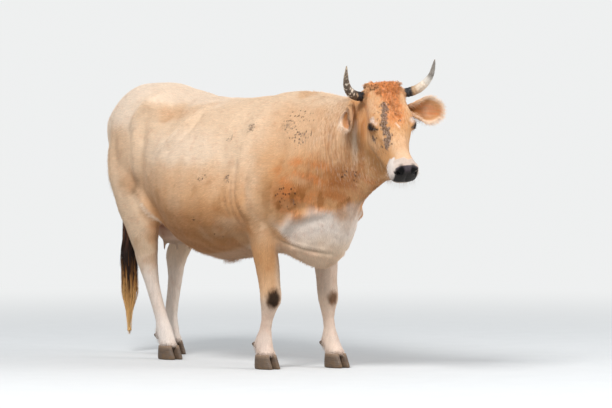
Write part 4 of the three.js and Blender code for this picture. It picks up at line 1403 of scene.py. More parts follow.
class Nodes:
    """A tree of shader nodes being built."""

    def __init__(self, tree):
        self.tree = tree

    def node(self, kind, settings=None, inputs=None, output=0):
        """Adds a node: its settings first, then values or links for its sockets."""
        made = self.tree.nodes.new(kind)
        for name, setting in (settings or {}).items():
            setattr(made, name, setting)
        for name, value in (inputs or {}).items():
            self.feed(made.inputs[name], value)
        return Value(self, made.outputs[output])

    def feed(self, socket, value):
        """Links a value to a socket, or gives it a number or a colour."""
        if isinstance(value, Value):
            self.tree.links.new(value.socket, socket)
        elif isinstance(value, np.ndarray):
            socket.default_value = (*value.tolist(), 1.0)
        else:
            socket.default_value = value

    def maths(self, operation, *terms):
        return self.node("ShaderNodeMath", {"operation": operation}, dict(enumerate(terms)))


class Finish(Nodes):
    """A material being made, from its name and the plain numbers of its shader."""

    def __init__(self, name, **plain):
        self.material = bpy.data.materials.new(name)
        self.material.use_nodes = True
        super().__init__(self.material.node_tree)
        self.shader = self.tree.nodes["Principled BSDF"]
        self.set(**plain)

    def set(self, **values):
        """Links or sets sockets of the shader, named in small letters."""
        for name, value in values.items():
            socket = name.replace("_", " ").title().replace("Ior", "IOR")
            self.feed(self.shader.inputs[socket], value)

    def stored(self, name, colour=False):
        """Numbers or colours stored on the mesh under a name."""
        output = "Color" if colour else "Fac"
        return self.node("ShaderNodeAttribute", {"attribute_name": name}, output=output)

    def place(self, *scale):
        """The point on the object, stretched along each axis."""
        here = self.node("ShaderNodeTexCoord", output="Object")
        return self.node("ShaderNodeVectorMath", {"operation": "MULTIPLY"}, {0: here, 1: scale})

    def noise(self, vector, scale=1.0, detail=2.0):
        return self.node("ShaderNodeTexNoise", inputs={"Vector": vector, "Scale": scale, "Detail": detail})

    def mixed(self, first, second, share):
        """One colour turning into another by a share."""
        return self.node("ShaderNodeMix", {"data_type": "RGBA"}, {0: share, 6: first, 7: second}, output=2)

    def tinted(self, colour, factor):
        """A colour with its light multiplied by a value."""
        return self.node("ShaderNodeVectorMath", {"operation": "SCALE"}, {0: colour, "Scale": factor})

    def bumped(self, height, distance):
        """Bumps of that many metres over the surface."""
        self.set(normal=self.node("ShaderNodeBump", inputs={"Height": height, "Distance": distance}))


WET_MUD = shade(66, 48, 38)
DRY_MUD = shade(152, 132, 120)
HORN_BASE, HORN_SHAFT, HORN_PALE = shade(196, 160, 122), shade(238, 220, 198), shade(238, 232, 222)
HORN_DIRT, HORN_WORN = shade(74, 54, 38), shade(206, 184, 158)
HORN_FOOT, HORN_DARK, HORN_TIP = shade(29, 25, 27), shade(62, 50, 44), shade(150, 128, 104)
HOOF_DARK, HOOF_LIGHT, HOOF_TOP = shade(70, 56, 46), shade(122, 100, 80), shade(152, 126, 102)
DUST = shade(116, 92, 68)
IRIS_DARK, IRIS_LIGHT, IRIS_RIM = shade(34, 21, 14), shade(62, 40, 26), shade(20, 14, 12)
WHITE_DARK, WHITE_LIGHT, PUPIL = shade(92, 74, 64), shade(150, 130, 118), shade(9, 9, 12)
SWITCH_TOP, SWITCH_DARK = shade(98, 58, 36), shade(40, 23, 16)
SWITCH_BROWN, SWITCH_STRAW = shade(182, 122, 62), shade(240, 192, 126)
MUD_SIZE = 84                   # flecks of mud per metre


def streaks(finish, fine, long):
    """Noise drawn out along the lie of the hair."""
    back = finish.noise(finish.place(fine, long, fine))
    down = finish.noise(finish.place(fine, fine, long))
    way = finish.stored("upright")
    return back + (down - back) * way


def coat_colour(finish):
    """The markings, broken up by streaks, blotches and flecks of mud; and how much mud shows."""
    tint = finish.stored("tint", colour=True)
    lit = 0.80 + 0.26 * streaks(finish, 90, 14) + 0.16 * streaks(finish, 300, 50)
    blotch = finish.noise(finish.place(1, 1, 1), scale=28, detail=4.0)
    tint = finish.tinted(tint, lit)
    lines = finish.noise(finish.place(120, 120, 6)).ramp(0.50, 0.60) * finish.stored("streaky")
    pale = finish.noise(finish.place(150, 150, 5)).ramp(0.52, 0.66) * finish.stored("streaky")
    tint = finish.mixed(tint, OCHRE, 0.38 * lines)
    tint = finish.mixed(tint, CREAM, 0.22 * pale)
    warm = finish.mixed(tint, RUST, 0.16 * blotch.ramp(0.50, 0.75))
    mud = finish.stored("mud")
    here = {"Vector": finish.place(1, 1, 0.8), "Scale": MUD_SIZE}
    cell = {"feature": "F1"}
    dots = 1.0 - finish.node("ShaderNodeTexVoronoi", cell, here).ramp(0.30, 0.40)
    which = finish.node("ShaderNodeTexVoronoi", cell, here, output="Color")
    cake = finish.noise(finish.place(1, 1, 1), scale=42, detail=3.0)
    crust = streaks(finish, 170, 60)
    thin = dots * (mud * 1.3 + cake * 0.8 - 0.50 - which).ramp(0.0, 0.06) * 0.92
    thick = (crust * 0.7 + cake * 0.45 + mud).ramp(1.18, 1.46)
    muddy = finish.maths("MAXIMUM", thin, thick) * mud.ramp(0.05, 0.30)
    crumbs = streaks(finish, 280, 90).ramp(0.42, 0.60)
    earth = finish.mixed(WET_MUD, DRY_MUD, crumbs * mud.ramp(0.50, 0.62))
    return finish.mixed(warm, earth, muddy * 0.84), muddy


def hide_finish():
    """Skin, with the wet pebbled pad of the nose."""
    finish = Finish("hide", sheen_weight=0.03, specular_ior_level=0.15)
    colour, muddy = coat_colour(finish)
    wet = finish.stored("wet")
    pebbles = finish.node("ShaderNodeTexVoronoi", {"feature": "F1"},
                          {"Vector": finish.place(1, 1, 1), "Scale": 330.0})
    colour = finish.tinted(colour, 1.0 - 0.12 * (1.0 - wet))
    pad = finish.tinted(finish.stored("tint", colour=True), 0.55 + 0.70 * pebbles.ramp(0.1, 0.9))
    colour = finish.mixed(colour, pad, wet)
    finish.set(base_color=colour, roughness=0.62 + 0.25 * muddy - 0.36 * wet)
    fur = streaks(finish, 420, 60) + 0.5 * finish.noise(finish.place(1, 1, 1), scale=160)
    height = fur * (1.0 - wet) + (1.0 - pebbles) * wet * 0.5 + muddy * 0.5
    finish.bumped(height, 0.0012)
    return finish.material


def tuft_finish(name="fur", deep=0.90, spread=0.18, tip=0.08):
    """Hair: how light at its root, how different from tuft to tuft, how much lighter at the tip."""
    finish = Finish(name, sheen_weight=0.03, specular_ior_level=0.2)
    colour, muddy = coat_colour(finish)
    strand, rise = finish.stored("strand"), finish.stored("rise")
    colour = finish.tinted(colour, deep + spread * strand + tip * rise)
    finish.set(base_color=colour, roughness=0.58 + 0.25 * muddy)
    finish.bumped(streaks(finish, 600, 90), 0.0004)
    return finish.material


def horn_finish():
    """Horn with a dark foot, fine grain, a dark end, and dirt over it where some is stored."""
    finish = Finish("horn", coat_weight=0.15, coat_roughness=0.3)
    share, dirt = finish.stored("share"), finish.stored("dirt")
    ragged = share + 0.08 * (finish.noise(finish.place(1, 1, 1), scale=60, detail=3.0) - 0.5)
    grain = finish.noise(finish.place(1, 1, 0.25), scale=330, detail=3.0)
    blotch = finish.noise(finish.place(1, 1, 0.5), scale=70, detail=4.0)
    colour = finish.mixed(HORN_BASE, HORN_SHAFT, ragged.ramp(0.26, 0.44))
    colour = finish.mixed(colour, HORN_PALE, ragged.ramp(0.46, 0.60) * (1.0 - dirt))
    colour = finish.tinted(colour, 0.82 + 0.3 * grain)
    colour = finish.mixed(colour, HORN_DIRT, blotch.ramp(0.36, 0.50) * dirt)
    colour = finish.mixed(colour, HORN_WORN, blotch.ramp(0.52, 0.62) * ragged.ramp(0.5, 0.9) * dirt)
    colour = finish.mixed(colour, HORN_FOOT, 1.0 - ragged.ramp(0.22, 0.27))
    dark_end = ragged.ramp(0.60, 0.72) * (1.0 - dirt)
    colour = finish.mixed(colour, HORN_DARK, dark_end * (0.78 + 0.6 * (blotch - 0.4)))
    colour = finish.mixed(colour, HORN_TIP, ragged.ramp(0.94, 1.0) * 0.5)
    finish.set(base_color=colour, roughness=0.34 + 0.25 * grain + 0.15 * dirt)
    finish.bumped(grain + 0.6 * blotch * dirt, 0.0008)
    return finish.material


def hoof_finish():
    """Hoof with rings, paler at its top and dusty below."""
    finish = Finish("hoof", coat_weight=0.05)
    height = finish.stored("height")
    grain = finish.noise(finish.place(1, 1, 0.18), scale=420, detail=2.0)
    rings = finish.noise(finish.place(0.1, 0.1, 1), scale=260, detail=2.0)
    colour = finish.mixed(HOOF_DARK, HOOF_LIGHT, rings)
    colour = finish.mixed(colour, HOOF_TOP, height.ramp(0.66, 1.0) * 0.8)
    dust = finish.noise(finish.place(1, 1, 1), scale=55, detail=4.0).ramp(0.42, 0.62)
    colour = finish.mixed(colour, DUST, dust * (1.0 - height.ramp(0.1, 0.8)) * 0.8)
    finish.set(base_color=colour, roughness=0.50 + 0.3 * dust)
    finish.bumped(grain + rings * 0.8 + dust * 0.4, 0.0009)
    return finish.material


def eye_finish():
    """Brown eye with a dark rim and a wide pupil."""
    finish = Finish("eyeball", coat_weight=0.45, coat_roughness=0.03, ior=1.38, specular_ior_level=0.2)
    rim, pupil = finish.stored("rim"), finish.stored("pupil")
    fibre = finish.noise(finish.place(1, 1, 1), scale=520, detail=3.0)
    iris = finish.mixed(IRIS_DARK, IRIS_LIGHT, fibre)
    white = finish.mixed(WHITE_DARK, WHITE_LIGHT, fibre.ramp(0.35, 0.7))
    colour = finish.mixed(iris, IRIS_RIM, rim.ramp(0.78, 0.98))
    colour = finish.mixed(colour, white, rim.ramp(1.00, 1.10))
    colour = finish.mixed(PUPIL, colour, pupil.ramp(0.88, 1.06))
    finish.set(base_color=colour, roughness=0.10 + 0.1 * fibre)
    return finish.material


def switch_finish():
    """Long hair of the tail: nearly black above, brown below, straw-coloured at the ends."""
    finish = Finish("tail hair", sheen_weight=0.05, specular_ior_level=0.25)
    strand, height = finish.stored("strand"), finish.stored("drop")
    level = height + 0.30 * (strand - 0.5)
    colour = finish.mixed(SWITCH_TOP, SWITCH_DARK, level.ramp(0.05, 0.26))
    colour = finish.mixed(colour, SWITCH_BROWN, level.ramp(0.47, 0.62))
    colour = finish.mixed(colour, SWITCH_STRAW, level.ramp(0.58, 0.80))
    grain = finish.noise(finish.place(1, 1, 0.15), scale=300, detail=3.0)
    colour = finish.tinted(colour, 0.72 + 0.32 * strand + 0.28 * grain)
    finish.set(base_color=colour, roughness=0.5 + 0.2 * grain)
    finish.bumped(grain, 0.0006)
    return finish.material


# ------------------------------------------------------------------ horns, hooves and eyes
HORN_PATH = [                    # from the poll: out to the side, forward and up
    (0.078, -0.010, -0.032), (0.116, -0.014, -0.031), (0.160, 0.006, -0.017), (0.192, 0.030, 0.012),
    (0.208, 0.052, 0.046), (0.213, 0.066, 0.082), (0.215, 0.076, 0.112),
]
HORN_SPREAD = {"left": 0.009, "right": -0.014}   # how much further out the tip of each stands
HORN_DIRTY = {"left": 0.15, "right": 0.95}
HORN_RINGS = 19


def smooth_solid(name, node, cell, softness):
    """A node's solid as a fine smooth surface."""
    low, high = corners(node)
    block = Block(low - 5 * cell, high + 5 * cell, cell)
    outside = block.blurred(softness, block.distance(node, band=4.0))
    return mesh_from(name, *faced_out(*block.surface(outside)))


def faced_out(points, quads):
    """The same surface with its faces turned outwards."""
    corner = points[quads]
    normal = np.cross(corner[:, 2] - corner[:, 0], corner[:, 3] - corner[:, 1])
    volume = (normal * corner.mean(1)).sum()
    return points, [quads if volume > 0 else quads[:, ::-1]]


def raised(mesh, heights):
    """Moves the surface of a mesh outwards, but not under the floor."""
    points = vertices_of(mesh) + normals_of(mesh) * heights[:, None]
    points[:, 2] = np.maximum(points[:, 2], 0)
    mesh.vertices.foreach_set("co", points.astype(np.float32).reshape(-1))
    mesh.update()


def make_horn(side, finish):
    """One horn with its rings and its share of dirt."""
    mesh = smooth_solid("horn_of_" + side, "horn_" + side, 0.0022, 0.0018)
    spread = np.linspace(0, HORN_SPREAD[side], len(HORN_PATH))
    path = [POLL + SKULL_TURN @ np.array([SIDES[side] * (out + more), -ahead, up])
            for (out, ahead, up), more in zip(HORN_PATH, spread)]
    _, share = from_path(vertices_of(mesh), path)
    rings = np.sin(share * 2 * np.pi * HORN_RINGS + ripple(vertices_of(mesh), 0.05, 41))
    raised(mesh, 0.0007 * rings * fall(0.2, 0.55, share) + 0.0006 * ripple(vertices_of(mesh), 0.02, 42))
    store(mesh, "share", share)
    store(mesh, "dirt", np.full(len(share), HORN_DIRTY[side]))
    add_piece(mesh, finish, "horn", "horn_" + side)


HOOF_RING = 0.0085              # from one ring of a hoof to the next
HOOF_TOPS = {"claw": (0, 0.066), "dewclaw": (0.085, 0.045)}     # where each kind starts, and how high it is


def make_hoof(kind, foot, finish):
    """One claw or dewclaw with its rings."""
    node = kind + "_" + foot
    mesh = smooth_solid("hoof_" + node, node, SMALL_CELL + 0.0004, 0.0022)
    points = vertices_of(mesh)
    bottom, tall = HOOF_TOPS[kind]
    height = (points[:, 2] - bottom) / tall
    level = points[:, 2] + 0.15 * points[:, 1] + 0.002 * ripple(points, 0.04, 43)
    rings = np.sin(level * 2 * np.pi / HOOF_RING)
    raised(mesh, 0.0006 * rings * smooth(0.004, 0.010, points[:, 2]))
    store(mesh, "height", height)
    add_piece(mesh, finish, "hoof", node)


def make_eye(side, finish):
    """One eyeball, bulging at the pupil."""
    eye = next(eye for eye in EYE_FRAMES if eye.side == side)
    rings, spokes = 36, 56
    angle = np.linspace(0, np.pi, rings + 1)[1:-1, None]
    turn_by = np.linspace(0, 2 * np.pi, spokes, endpoint=False)[None, :]
    bulge = EYE_RADIUS * (1 + 0.055 * np.exp(-((angle / 0.62) ** 2)))
    ahead, up = np.sin(angle) * np.cos(turn_by), np.sin(angle) * np.sin(turn_by)
    gaze = np.cos(angle) + 0 * turn_by
    facing = gaze[..., None] * eye.gaze + ahead[..., None] * eye.ahead + up[..., None] * eye.up
    ball = bulge[..., None] * facing
    front, back = bulge[0, 0] * eye.gaze, -EYE_RADIUS * eye.gaze
    points = eye.centre + np.concatenate([ball.reshape(-1, 3), [front, back]])
    ring = np.arange(rings - 2)[:, None] * spokes
    step = np.arange(spokes)[None, :]
    onward = (step + 1) % spokes
    quads = np.stack([ring + step, ring + spokes + step, ring + spokes + onward, ring + onward], -1)
    last = (rings - 2) * spokes
    tips = len(points) - 2
    caps = [[tips, k, (k + 1) % spokes] for k in range(spokes)]
    caps += [[tips + 1, last + (k + 1) % spokes, last + k] for k in range(spokes)]
    mesh = mesh_from("eye_of_" + side, points, [quads.reshape(-1, 4), np.array(caps)])
    face_outwards(mesh)
    local = np.stack(eye.local(points), -1) / EYE_RADIUS
    out = np.hypot(local[:, 1], local[:, 2]) + 2 * (local[:, 0] < 0)
    store(mesh, "rim", out / eye.IRIS)
    wide, high = eye.PUPIL
    store(mesh, "pupil", np.hypot(local[:, 1] / wide, local[:, 2] / high) + 2 * (local[:, 0] < 0))
    add_piece(mesh, finish, "eye", "eye_" + side)


# ------------------------------------------------------------------ long hair
def waved(roots, ways, normals, lengths, steps, curl, turns, phases, droop):
    """Centre-lines of long hairs: out along their way, curling about it and drooping."""
    share = np.linspace(0, 1, steps)[None, :, None]
    across = unit(np.cross(ways, normals + 1e-4))
    over_way = np.cross(across, ways)
    swing = phases[:, None, None] + 2 * np.pi * turns * share
    lines = roots[:, None] + ways[:, None] * lengths[:, None, None] * share
    lines = lines + np.reshape(curl, (-1, 1, 1)) * share**0.7 * (
        np.cos(swing) * across[:, None] + np.sin(swing) * over_way[:, None])
    lines[..., 2] -= droop * lengths[:, None] * share[..., 0] ** 2
    return lines


def topknot(hide, finish):
    """Short curly locks on the poll, running out down the forehead."""
    side, along, above = in_head(hide.centres)
    wide = np.abs(side - 0.10 * np.clip(along, 0, 0.2))
    reach = mix(0.076, 0.018, smooth(0.0, 0.12, along))
    where = fall(0.60, 1.0, wide / reach) * fall(0.150, 0.180, along)
    where *= mix(1.0, 0.6, smooth(0.03, 0.10, along))
    where *= (above > -0.05) * smooth(-0.070, -0.02, along) * (neck_side(hide.centres) > 0)
    locks, normals = hide.roots(560, where)
    count, steps = 13, 5
    ways = lie_of(locks, normals) * np.sign(RNG.random(len(locks)) - 0.35)[:, None]
    side, along, _ = in_head(locks)
    ways = ways + 0.7 * (side / 0.06)[:, None] * (HEAD_TURN @ np.array([1.0, 0, 0]))
    crown = fall(0.0, 0.07, along)
    beside = crown * smooth(0.025, 0.060, np.abs(side))
    ways = ways + 1.1 * beside[:, None] * np.array([0, 0, 1.0])
    rise = RNG.uniform(0.05, 0.25, len(locks)) + 0.20 * crown * RNG.random(len(locks))
    ways = unit(ways + RNG.normal(0, 0.35, ways.shape) + normals * rise[:, None])
    each = np.repeat(np.arange(len(locks)), count)
    spread = RNG.normal(0, 0.0040, (len(each), 3))
    lengths = mix(0.020, mix(0.024, 0.034, beside), crown) * RNG.uniform(0.7, 1.25, len(locks))
    lengths = lengths[each] * RNG.uniform(0.85, 1.1, len(each))
    phases = RNG.uniform(0, 6.3, len(locks))[each] + RNG.normal(0, 0.20, len(each))
    curl = (mix(0.0040, 0.0065, crown) * RNG.uniform(0.7, 1.2, len(locks)))[each]
    lines = waved(locks[each] + spread, ways[each], normals[each], lengths, steps, curl, 0.8, phases, 0.30)
    lines -= 0.6 * spread[:, None] * np.linspace(0, 1, steps)[None, :, None]
    lines -= normals[each][:, None] * 0.0020
    # Each lock lighter or darker as a whole: partly random tone, partly painted highlights and shade among
    # the curls.
    shades = np.clip(RNG.random(len(locks))[each] + RNG.normal(0, 0.12, len(each)), 0, 1)
    mesh = strands("topknot", lines, normals[each], 0.0026, thin=0.6, soften=0.50, shades=shades)
    add_piece(mesh, finish, "coat")


def ear_fringe(hide, finish):
    """Pale hair round the rim of each ear and across its hollow."""
    for ear in EARS:
        share, edge, inward = ear.leaf(hide.centres)
        weight = ear.weight(hide.centres)
        inner = hide.facing @ ear.open
        rim = smooth(0.75, 0.95, np.maximum(edge, share)) * (inward > -0.001) * (weight > 0.5)
        throat = 0.7 * smooth(0.2, 0.6, inner) * fall(0.30, 0.60, share) * (share > 0.08)
        where = np.maximum(rim, throat * (weight > 0.3) * (inward > 0))
        roots, normals = hide.roots(2200, where)
        along, across, _ = ear.local(roots)
        edge = ear.leaf(roots)[1]
        outwards = ear.along * 0.8 + ear.across * (np.sign(across) * edge**2 * 0.8)[:, None]
        inwards = ear.along * 0.8 - ear.across * (np.sign(across) * 0.5)[:, None]
        deep = fall(0.3, 0.6, along / ear.length)[:, None]
        ways = unit(mix(outwards, inwards, deep) + 0.30 * ear.open + RNG.normal(0, 0.16, (len(roots), 3)))
        lengths = RNG.uniform(0.012, 0.030, len(roots))
        phases = RNG.uniform(0, 6.3, len(roots))
        lines = waved(roots, ways, normals, lengths, 4, 0.0025, 0.4, phases, 0.20)
        mesh = strands("ear_fringe_" + ear.side, lines, normals, 0.0013, soften=0.6)
        add_piece(mesh, finish, "pale_coat")


def switch_spine():
    """Heights of the switch from its top, with its centre and half width there."""
    points = vertices_of(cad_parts["tail_switch"].data)
    heights = np.unique(points[:, 2].round(3))[::-1]
    rows = []
    for height in heights:
        ring = points[np.abs(points[:, 2] - height) < 0.002]
        middle_of = (ring.max(0) + ring.min(0)) / 2
        rows.append([height, middle_of[0], middle_of[1], (ring.max(0) - ring.min(0))[:2].mean() / 2])
    return np.array(rows)


def tail_switch(finish):
    """Long locks that hang from the end of the tail."""
    rows = switch_spine()
    top, bottom = rows[0, 0], rows[-1, 0]
    locks, count = int(150 * max(COAT_SHARE, 0.6)), 12
    total = locks * count
    steps = 9

    def spread(values, jitter):
        return np.repeat(values, count) + RNG.normal(0, jitter, total)

    angle = spread(RNG.uniform(0, 2 * np.pi, locks), 0.20)
    reach = np.clip(spread(np.sqrt(RNG.random(locks)), 0.06), 0, 1)
    start = np.clip(spread(RNG.uniform(0.02, 0.55, locks) ** 1.3, 0.01), 0, 1)
    end = np.clip(start + spread(RNG.uniform(0.35, 0.75, locks), 0.03), 0, 1)
    share = start[:, None] + (end - start)[:, None] * np.linspace(0, 1, steps)[None, :]
    height = top + 0.015 + (bottom - top - 0.015) * share
    sway_at = spread(RNG.uniform(0, 6.3, locks), 0.15)
    sway = 0.0045 * np.sin(sway_at[:, None] + share * 16)
    half = np.interp(-height, -rows[:, 0], rows[:, 3])
    flare = 1 + 0.30 * smooth(0.50, 0.80, share)
    taper = 0.35 + 0.65 * np.linspace(0.25, 1, steps)[None, :] ** 0.6
    radius = flare * half * taper * reach[:, None] + sway
    lines = np.stack([np.interp(-height, -rows[:, 0], rows[:, 1]) + radius * np.cos(angle)[:, None],
                      np.interp(-height, -rows[:, 0], rows[:, 2]) + radius * np.sin(angle)[:, None],
                      height], -1)
    normals = np.stack([np.cos(angle), np.sin(angle), np.zeros(total)], -1)
    drop = np.repeat((top - lines[:, :, 2])[:, :-1] / (top - bottom), 3, axis=1)
    drop = np.concatenate([drop, (top - lines[:, -1:, 2]) / (top - bottom)], 1)
    width = RNG.uniform(0.0022, 0.0042, total)
    mesh = strands("switch", lines, normals, width, soften=0.35, drop=drop.reshape(-1))
    add_piece(mesh, finish, "tail_hair", "tail_switch")


def switch_core(finish):
    """The dark mass of hair inside the switch."""
    mesh = smooth_solid("switch_core", "tail_switch", 0.004, 0.004)
    points = vertices_of(mesh)
    inset = 0.010 + 0.006 * ripple(points * [1, 1, 0.2], 0.02, 44)
    raised(mesh, -np.minimum(inset, 0.012))
    store(mesh, "drop", np.clip((0.70 - points[:, 2]) / 0.62, 0, 1))
    store(mesh, "strand", np.full(len(points), 0.1))
    add_piece(mesh, finish, "tail_hair")


def fringe(name, hide, where, count, length, way, finish, lift=0.3, wave=0.002, slot="coat", width=0.0017):
    """Longer hair that hangs where a mask says."""
    roots, normals = hide.roots(count, where)
    total = len(roots)
    ways = unit(np.asarray(way) + normals * lift + RNG.normal(0, 0.15, (total, 3)))
    lengths = RNG.uniform(*length, total)
    phases = RNG.uniform(0, 6.3, total)
    lines = waved(roots - normals * 0.001, ways, normals, lengths, 3, wave, 0.5, phases, 0.15)
    add_piece(strands(name, lines, normals, width, soften=0.6), finish, slot)


def long_coat(hide, finish):
    """Longer hair of the feet, belly, navel, thighs, crest, horns' roots, jaw and lips."""
    at_places, facing = hide.centres, hide.facing
    height = at_places[:, 2]
    forward, wide = ORIGIN_Y - at_places[:, 1], np.abs(at_places[:, 0])
    crown = (height < 0.098) * (height > 0.068)
    fringe("hair_over_hooves", hide, crown * 1.0, 4600, (0.012, 0.024), (0, -0.1, -1.0), finish,
           lift=0.28, width=0.0018)
    heel = smooth(0.09, 0.11, height) * fall(0.13, 0.17, height) * smooth(0.2, 0.7, facing[:, 1])
    fringe("hair_of_heels", hide, heel, 1500, (0.014, 0.028), (0, 0.3, -1.0), finish, lift=0.3)
    low = smooth(0.72, 0.92, -facing[:, 2]) * fall(0.10, 0.22, wide) * (height > 0.45)
    low = low * (1 - (from_udder(at_places) < 0.17)) * (neck_side(at_places) < 0)
    fringe("hair_of_belly", hide, low, 4200, (0.010, 0.018), (0, 0.9, -0.4), finish, lift=0.12)
    navel = inside(at_places, at(0.02, 0, 0.50), (0.05, 0.06, 0.06), 0.8)
    fringe("hair_of_navel", hide, navel, 200, (0.018, 0.032), (0, 0.7, -0.7), finish, lift=0.2)
    thigh = smooth(0.62, 0.70, -forward) * smooth(0.3, 0.8, facing[:, 1]) * (height > 0.55) * (height < 1.0)
    thigh = thigh * smooth(0.02, 0.06, wide)
    fringe("hair_of_thighs", hide, thigh, 3600, (0.016, 0.030), (0, 0.2, -1.0), finish, lift=0.25)
    crest = smooth(0.55, 0.75, forward) * smooth(0.75, 0.95, facing[:, 2]) * fall(0.04, 0.07, wide)
    crest = crest * (neck_side(at_places) < 0.04)
    fringe("hair_of_crest", hide, crest, 2200, (0.018, 0.034), (0, 0.9, -0.1), finish, lift=0.35)
    _, along, above = in_head(at_places)
    head = neck_side(at_places) > 0
    for part, sign in SIDES.items():
        base = POLL + SKULL_TURN @ np.array([sign * 0.082, 0.010, -0.032])
        out = SKULL_TURN @ np.array([sign * 1.0, 0, 0.05])
        ring = fall(0.026, 0.040, np.linalg.norm(at_places - base, axis=1)) * head
        fringe("hair_at_horn_" + part, hide, ring, 1100, (0.010, 0.017), out, finish, lift=0.35)
    jaw = head * smooth(0.3, 0.8, -(facing @ HEAD_TURN[:, 2])) * fall(0.36, 0.40, along)
    fringe("hair_of_jaw", hide, jaw, 1800, (0.012, 0.024), (0, 0.4, -1.0), finish, lift=0.2, width=0.0014)
    lips = head * smooth(0.36, 0.40, along) * (1 - nose_pad(at_places)) * (above < -0.06)
    fringe("whiskers", hide, lips, 150, (0.020, 0.042), HEAD_TURN @ np.array([0, -0.5, -0.6]), finish,
           lift=0.9, slot="pale_coat", width=0.0007)


def lashes(finish):
    """Lashes along the upper lid, and a few below."""
    for eye in EYE_FRAMES:
        count = 56
        across = RNG.uniform(-0.80, 0.80, count) * eye.WIDE
        above = RNG.random(count) < 0.75
        arch = 1 - (across / eye.WIDE) ** 2
        rise = np.where(above, eye.HIGH * arch**0.75, -eye.LOW * arch**0.9)
        depth = np.sqrt(np.clip(1 - across**2 - rise**2, 0.02, 1))
        out = depth[:, None] * eye.gaze + across[:, None] * eye.ahead + rise[:, None] * eye.up
        roots = eye.centre + out * (EYE_RADIUS + 0.0022)
        lean = np.where(above, 0.35, -0.7)[:, None] * eye.up + 0.5 * across[:, None] * eye.ahead
        ways = unit(eye.gaze * 0.8 + lean + RNG.normal(0, 0.12, (count, 3)))
        lengths = np.where(above, 0.011, 0.005) * RNG.uniform(0.7, 1.2, count)
        lines = waved(roots, ways, out, lengths, 4, 0.0008, 0.25, RNG.uniform(0, 6.3, count), 0.5)
        mesh = strands("lashes_" + eye.side, lines, out, 0.0005, soften=0.4)
        add_piece(mesh, finish, "coat")


# ------------------------------------------------------------------ setting
CAMERA_TURN = -38                # degrees round the cow from straight ahead of it, to its right
CAMERA_AWAY = 20.0
CAMERA_HEIGHT = 1.40
CAMERA_LENS = 253
AIM = (0.277, 0.055, 0.735)


def aimed(thing, target):
    """Turns a camera or a lamp towards a place."""
    thing.rotation_euler = (Vector(target) - thing.location).to_track_quat("-Z", "Y").to_euler()


def set_camera():
    """The camera from which the model is shown."""
    lens = bpy.data.cameras.new("camera")
    camera = bpy.data.objects.new("camera", lens)
    bpy.context.scene.collection.objects.link(camera)
    back = np.radians(CAMERA_TURN)
    x, y = AIM[0] + CAMERA_AWAY * np.sin(back), AIM[1] - CAMERA_AWAY * np.cos(back)
    camera.location = (x, y, CAMERA_HEIGHT)
    aimed(camera, AIM)
    lens.lens = CAMERA_LENS
    lens.clip_end = 200
    bpy.context.scene.camera = camera


def set_lamp(name, place, size, power):
    """A square lamp that shines at the middle of the cow."""
    lamp = bpy.data.lights.new(name, "AREA")
    lamp.size, lamp.energy = size, power
    holder = bpy.data.objects.new(name, lamp)
    bpy.context.scene.collection.objects.link(holder)
    holder.location = place
    aimed(holder, LAMP_AIM)


LAMP_AIM = (0, 0, 0.8)
LAMPS = [                        # name, place, size and power
    ("key", (-5.5, -3.2, 7.0), 3.0, 600),
    ("fill", (4.0, -6.0, 3.2), 4.0, 270),
]
BACKDROP = (0.86, 0.87, 0.87, 1)
SKY_COLOUR, SKY_LEVEL = (0.92, 0.96, 1.0, 1), 0.56
FLOOR_DARK, FLOOR_LIGHT = (0.74, 0.75, 0.75, 1), (0.79, 0.80, 0.80, 1)
FLOOR_LIT = (0.44, 0.44, 0.43, 1)                # what the floor throws back onto the cow


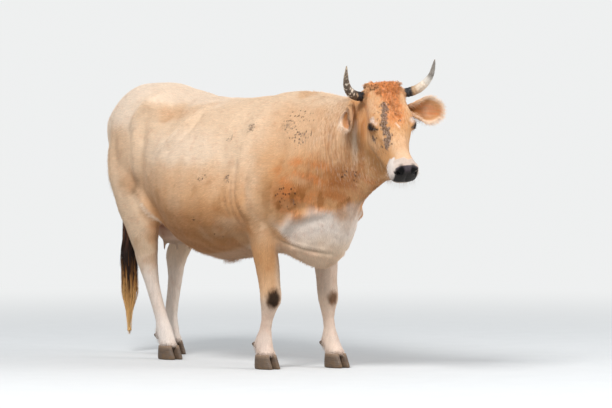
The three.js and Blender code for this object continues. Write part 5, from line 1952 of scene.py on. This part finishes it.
def set_floor():
    """A plain floor that melts into the backdrop at a distance."""
    reach = 400.0
    mesh = bpy.data.meshes.new("floor")
    corners_of = [(-reach, -reach, 0), (reach, -reach, 0), (reach, reach, 0), (-reach, reach, 0)]
    mesh.from_pydata(corners_of, [], [(0, 1, 2, 3)])
    floor = bpy.data.objects.new("floor", mesh)
    bpy.context.scene.collection.objects.link(floor)
    finish = Finish("floor", roughness=0.8)
    grain = finish.noise(finish.place(1, 1, 1), scale=6.0, detail=5.0)
    seen = finish.node("ShaderNodeLightPath", output="Is Camera Ray")
    pale = finish.mixed(FLOOR_DARK, FLOOR_LIGHT, grain)
    finish.set(base_color=finish.mixed(FLOOR_LIT, pale, seen))
    here = finish.place(1, 1, 1)
    away = finish.node("ShaderNodeVectorMath", {"operation": "LENGTH"}, {0: here}, output="Value")
    far = finish.node("ShaderNodeEmission", inputs={"Color": BACKDROP, "Strength": 1.0})
    near = Value(finish, finish.shader.outputs[0])
    share = away.ramp(1.6, 7.0) * seen
    melted = finish.node("ShaderNodeMixShader", inputs={0: share, 1: near, 2: far})
    finish.feed(finish.tree.nodes["Material Output"].inputs["Surface"], melted)
    mesh.materials.append(finish.material)


def set_world():
    """Even light from all round, with the plain backdrop for the camera alone."""
    world = bpy.data.worlds.new("studio")
    bpy.context.scene.world = world
    world.use_nodes = True
    sky = Nodes(world.node_tree)
    light = sky.tree.nodes["Background"]
    sky.feed(light.inputs["Color"], SKY_COLOUR)
    sky.feed(light.inputs["Strength"], SKY_LEVEL)
    backdrop = sky.node("ShaderNodeBackground", inputs={"Color": BACKDROP})
    seen = sky.node("ShaderNodeLightPath", output="Is Camera Ray")
    lit = Value(sky, light.outputs[0])
    chosen = sky.node("ShaderNodeMixShader", inputs={0: seen, 1: lit, 2: backdrop})
    sky.feed(sky.tree.nodes["World Output"].inputs[0], chosen)


# ------------------------------------------------------------------ the cow
set_camera()
set_floor()
set_world()
for lamp in LAMPS:
    set_lamp(*lamp)
bpy.context.scene.view_settings.view_transform = "Standard"

skin_mesh = shaped_skin()
skin_mesh.name = "skin"
paint(skin_mesh, vertices_of(skin_mesh), wet=nose_pad(vertices_of(skin_mesh)))
EAR_NODES = ["ear_left", "ear_right"]
add_piece(skin_mesh, hide_finish(), "coat", *FLESH, *EAR_NODES)
hide = Hide(skin_mesh)
FUR = tuft_finish()
short_coat(hide, FUR)
# The curls' dark roots, pale tips and strong contrast from lock to lock are painted highlights and shade.
CURLS = tuft_finish("curls", deep=0.60, spread=0.60, tip=0.24)
topknot(hide, CURLS)
ear_fringe(hide, tuft_finish("pale fringe", deep=0.95, spread=0.30))
long_coat(hide, FUR)
lashes(CURLS)
TAIL_HAIR = switch_finish()
switch_core(TAIL_HAIR)
tail_switch(TAIL_HAIR)
HORN, HOOF, EYEBALL = horn_finish(), hoof_finish(), eye_finish()
for side in SIDES:
    make_horn(side, HORN)
    make_eye(side, EYEBALL)
    for leg in ("fore", "hind"):
        for place in ("outer", "inner"):
            for kind in ("claw", "dewclaw"):
                make_hoof(kind, "%s_%s_%s" % (leg, side, place), HOOF)
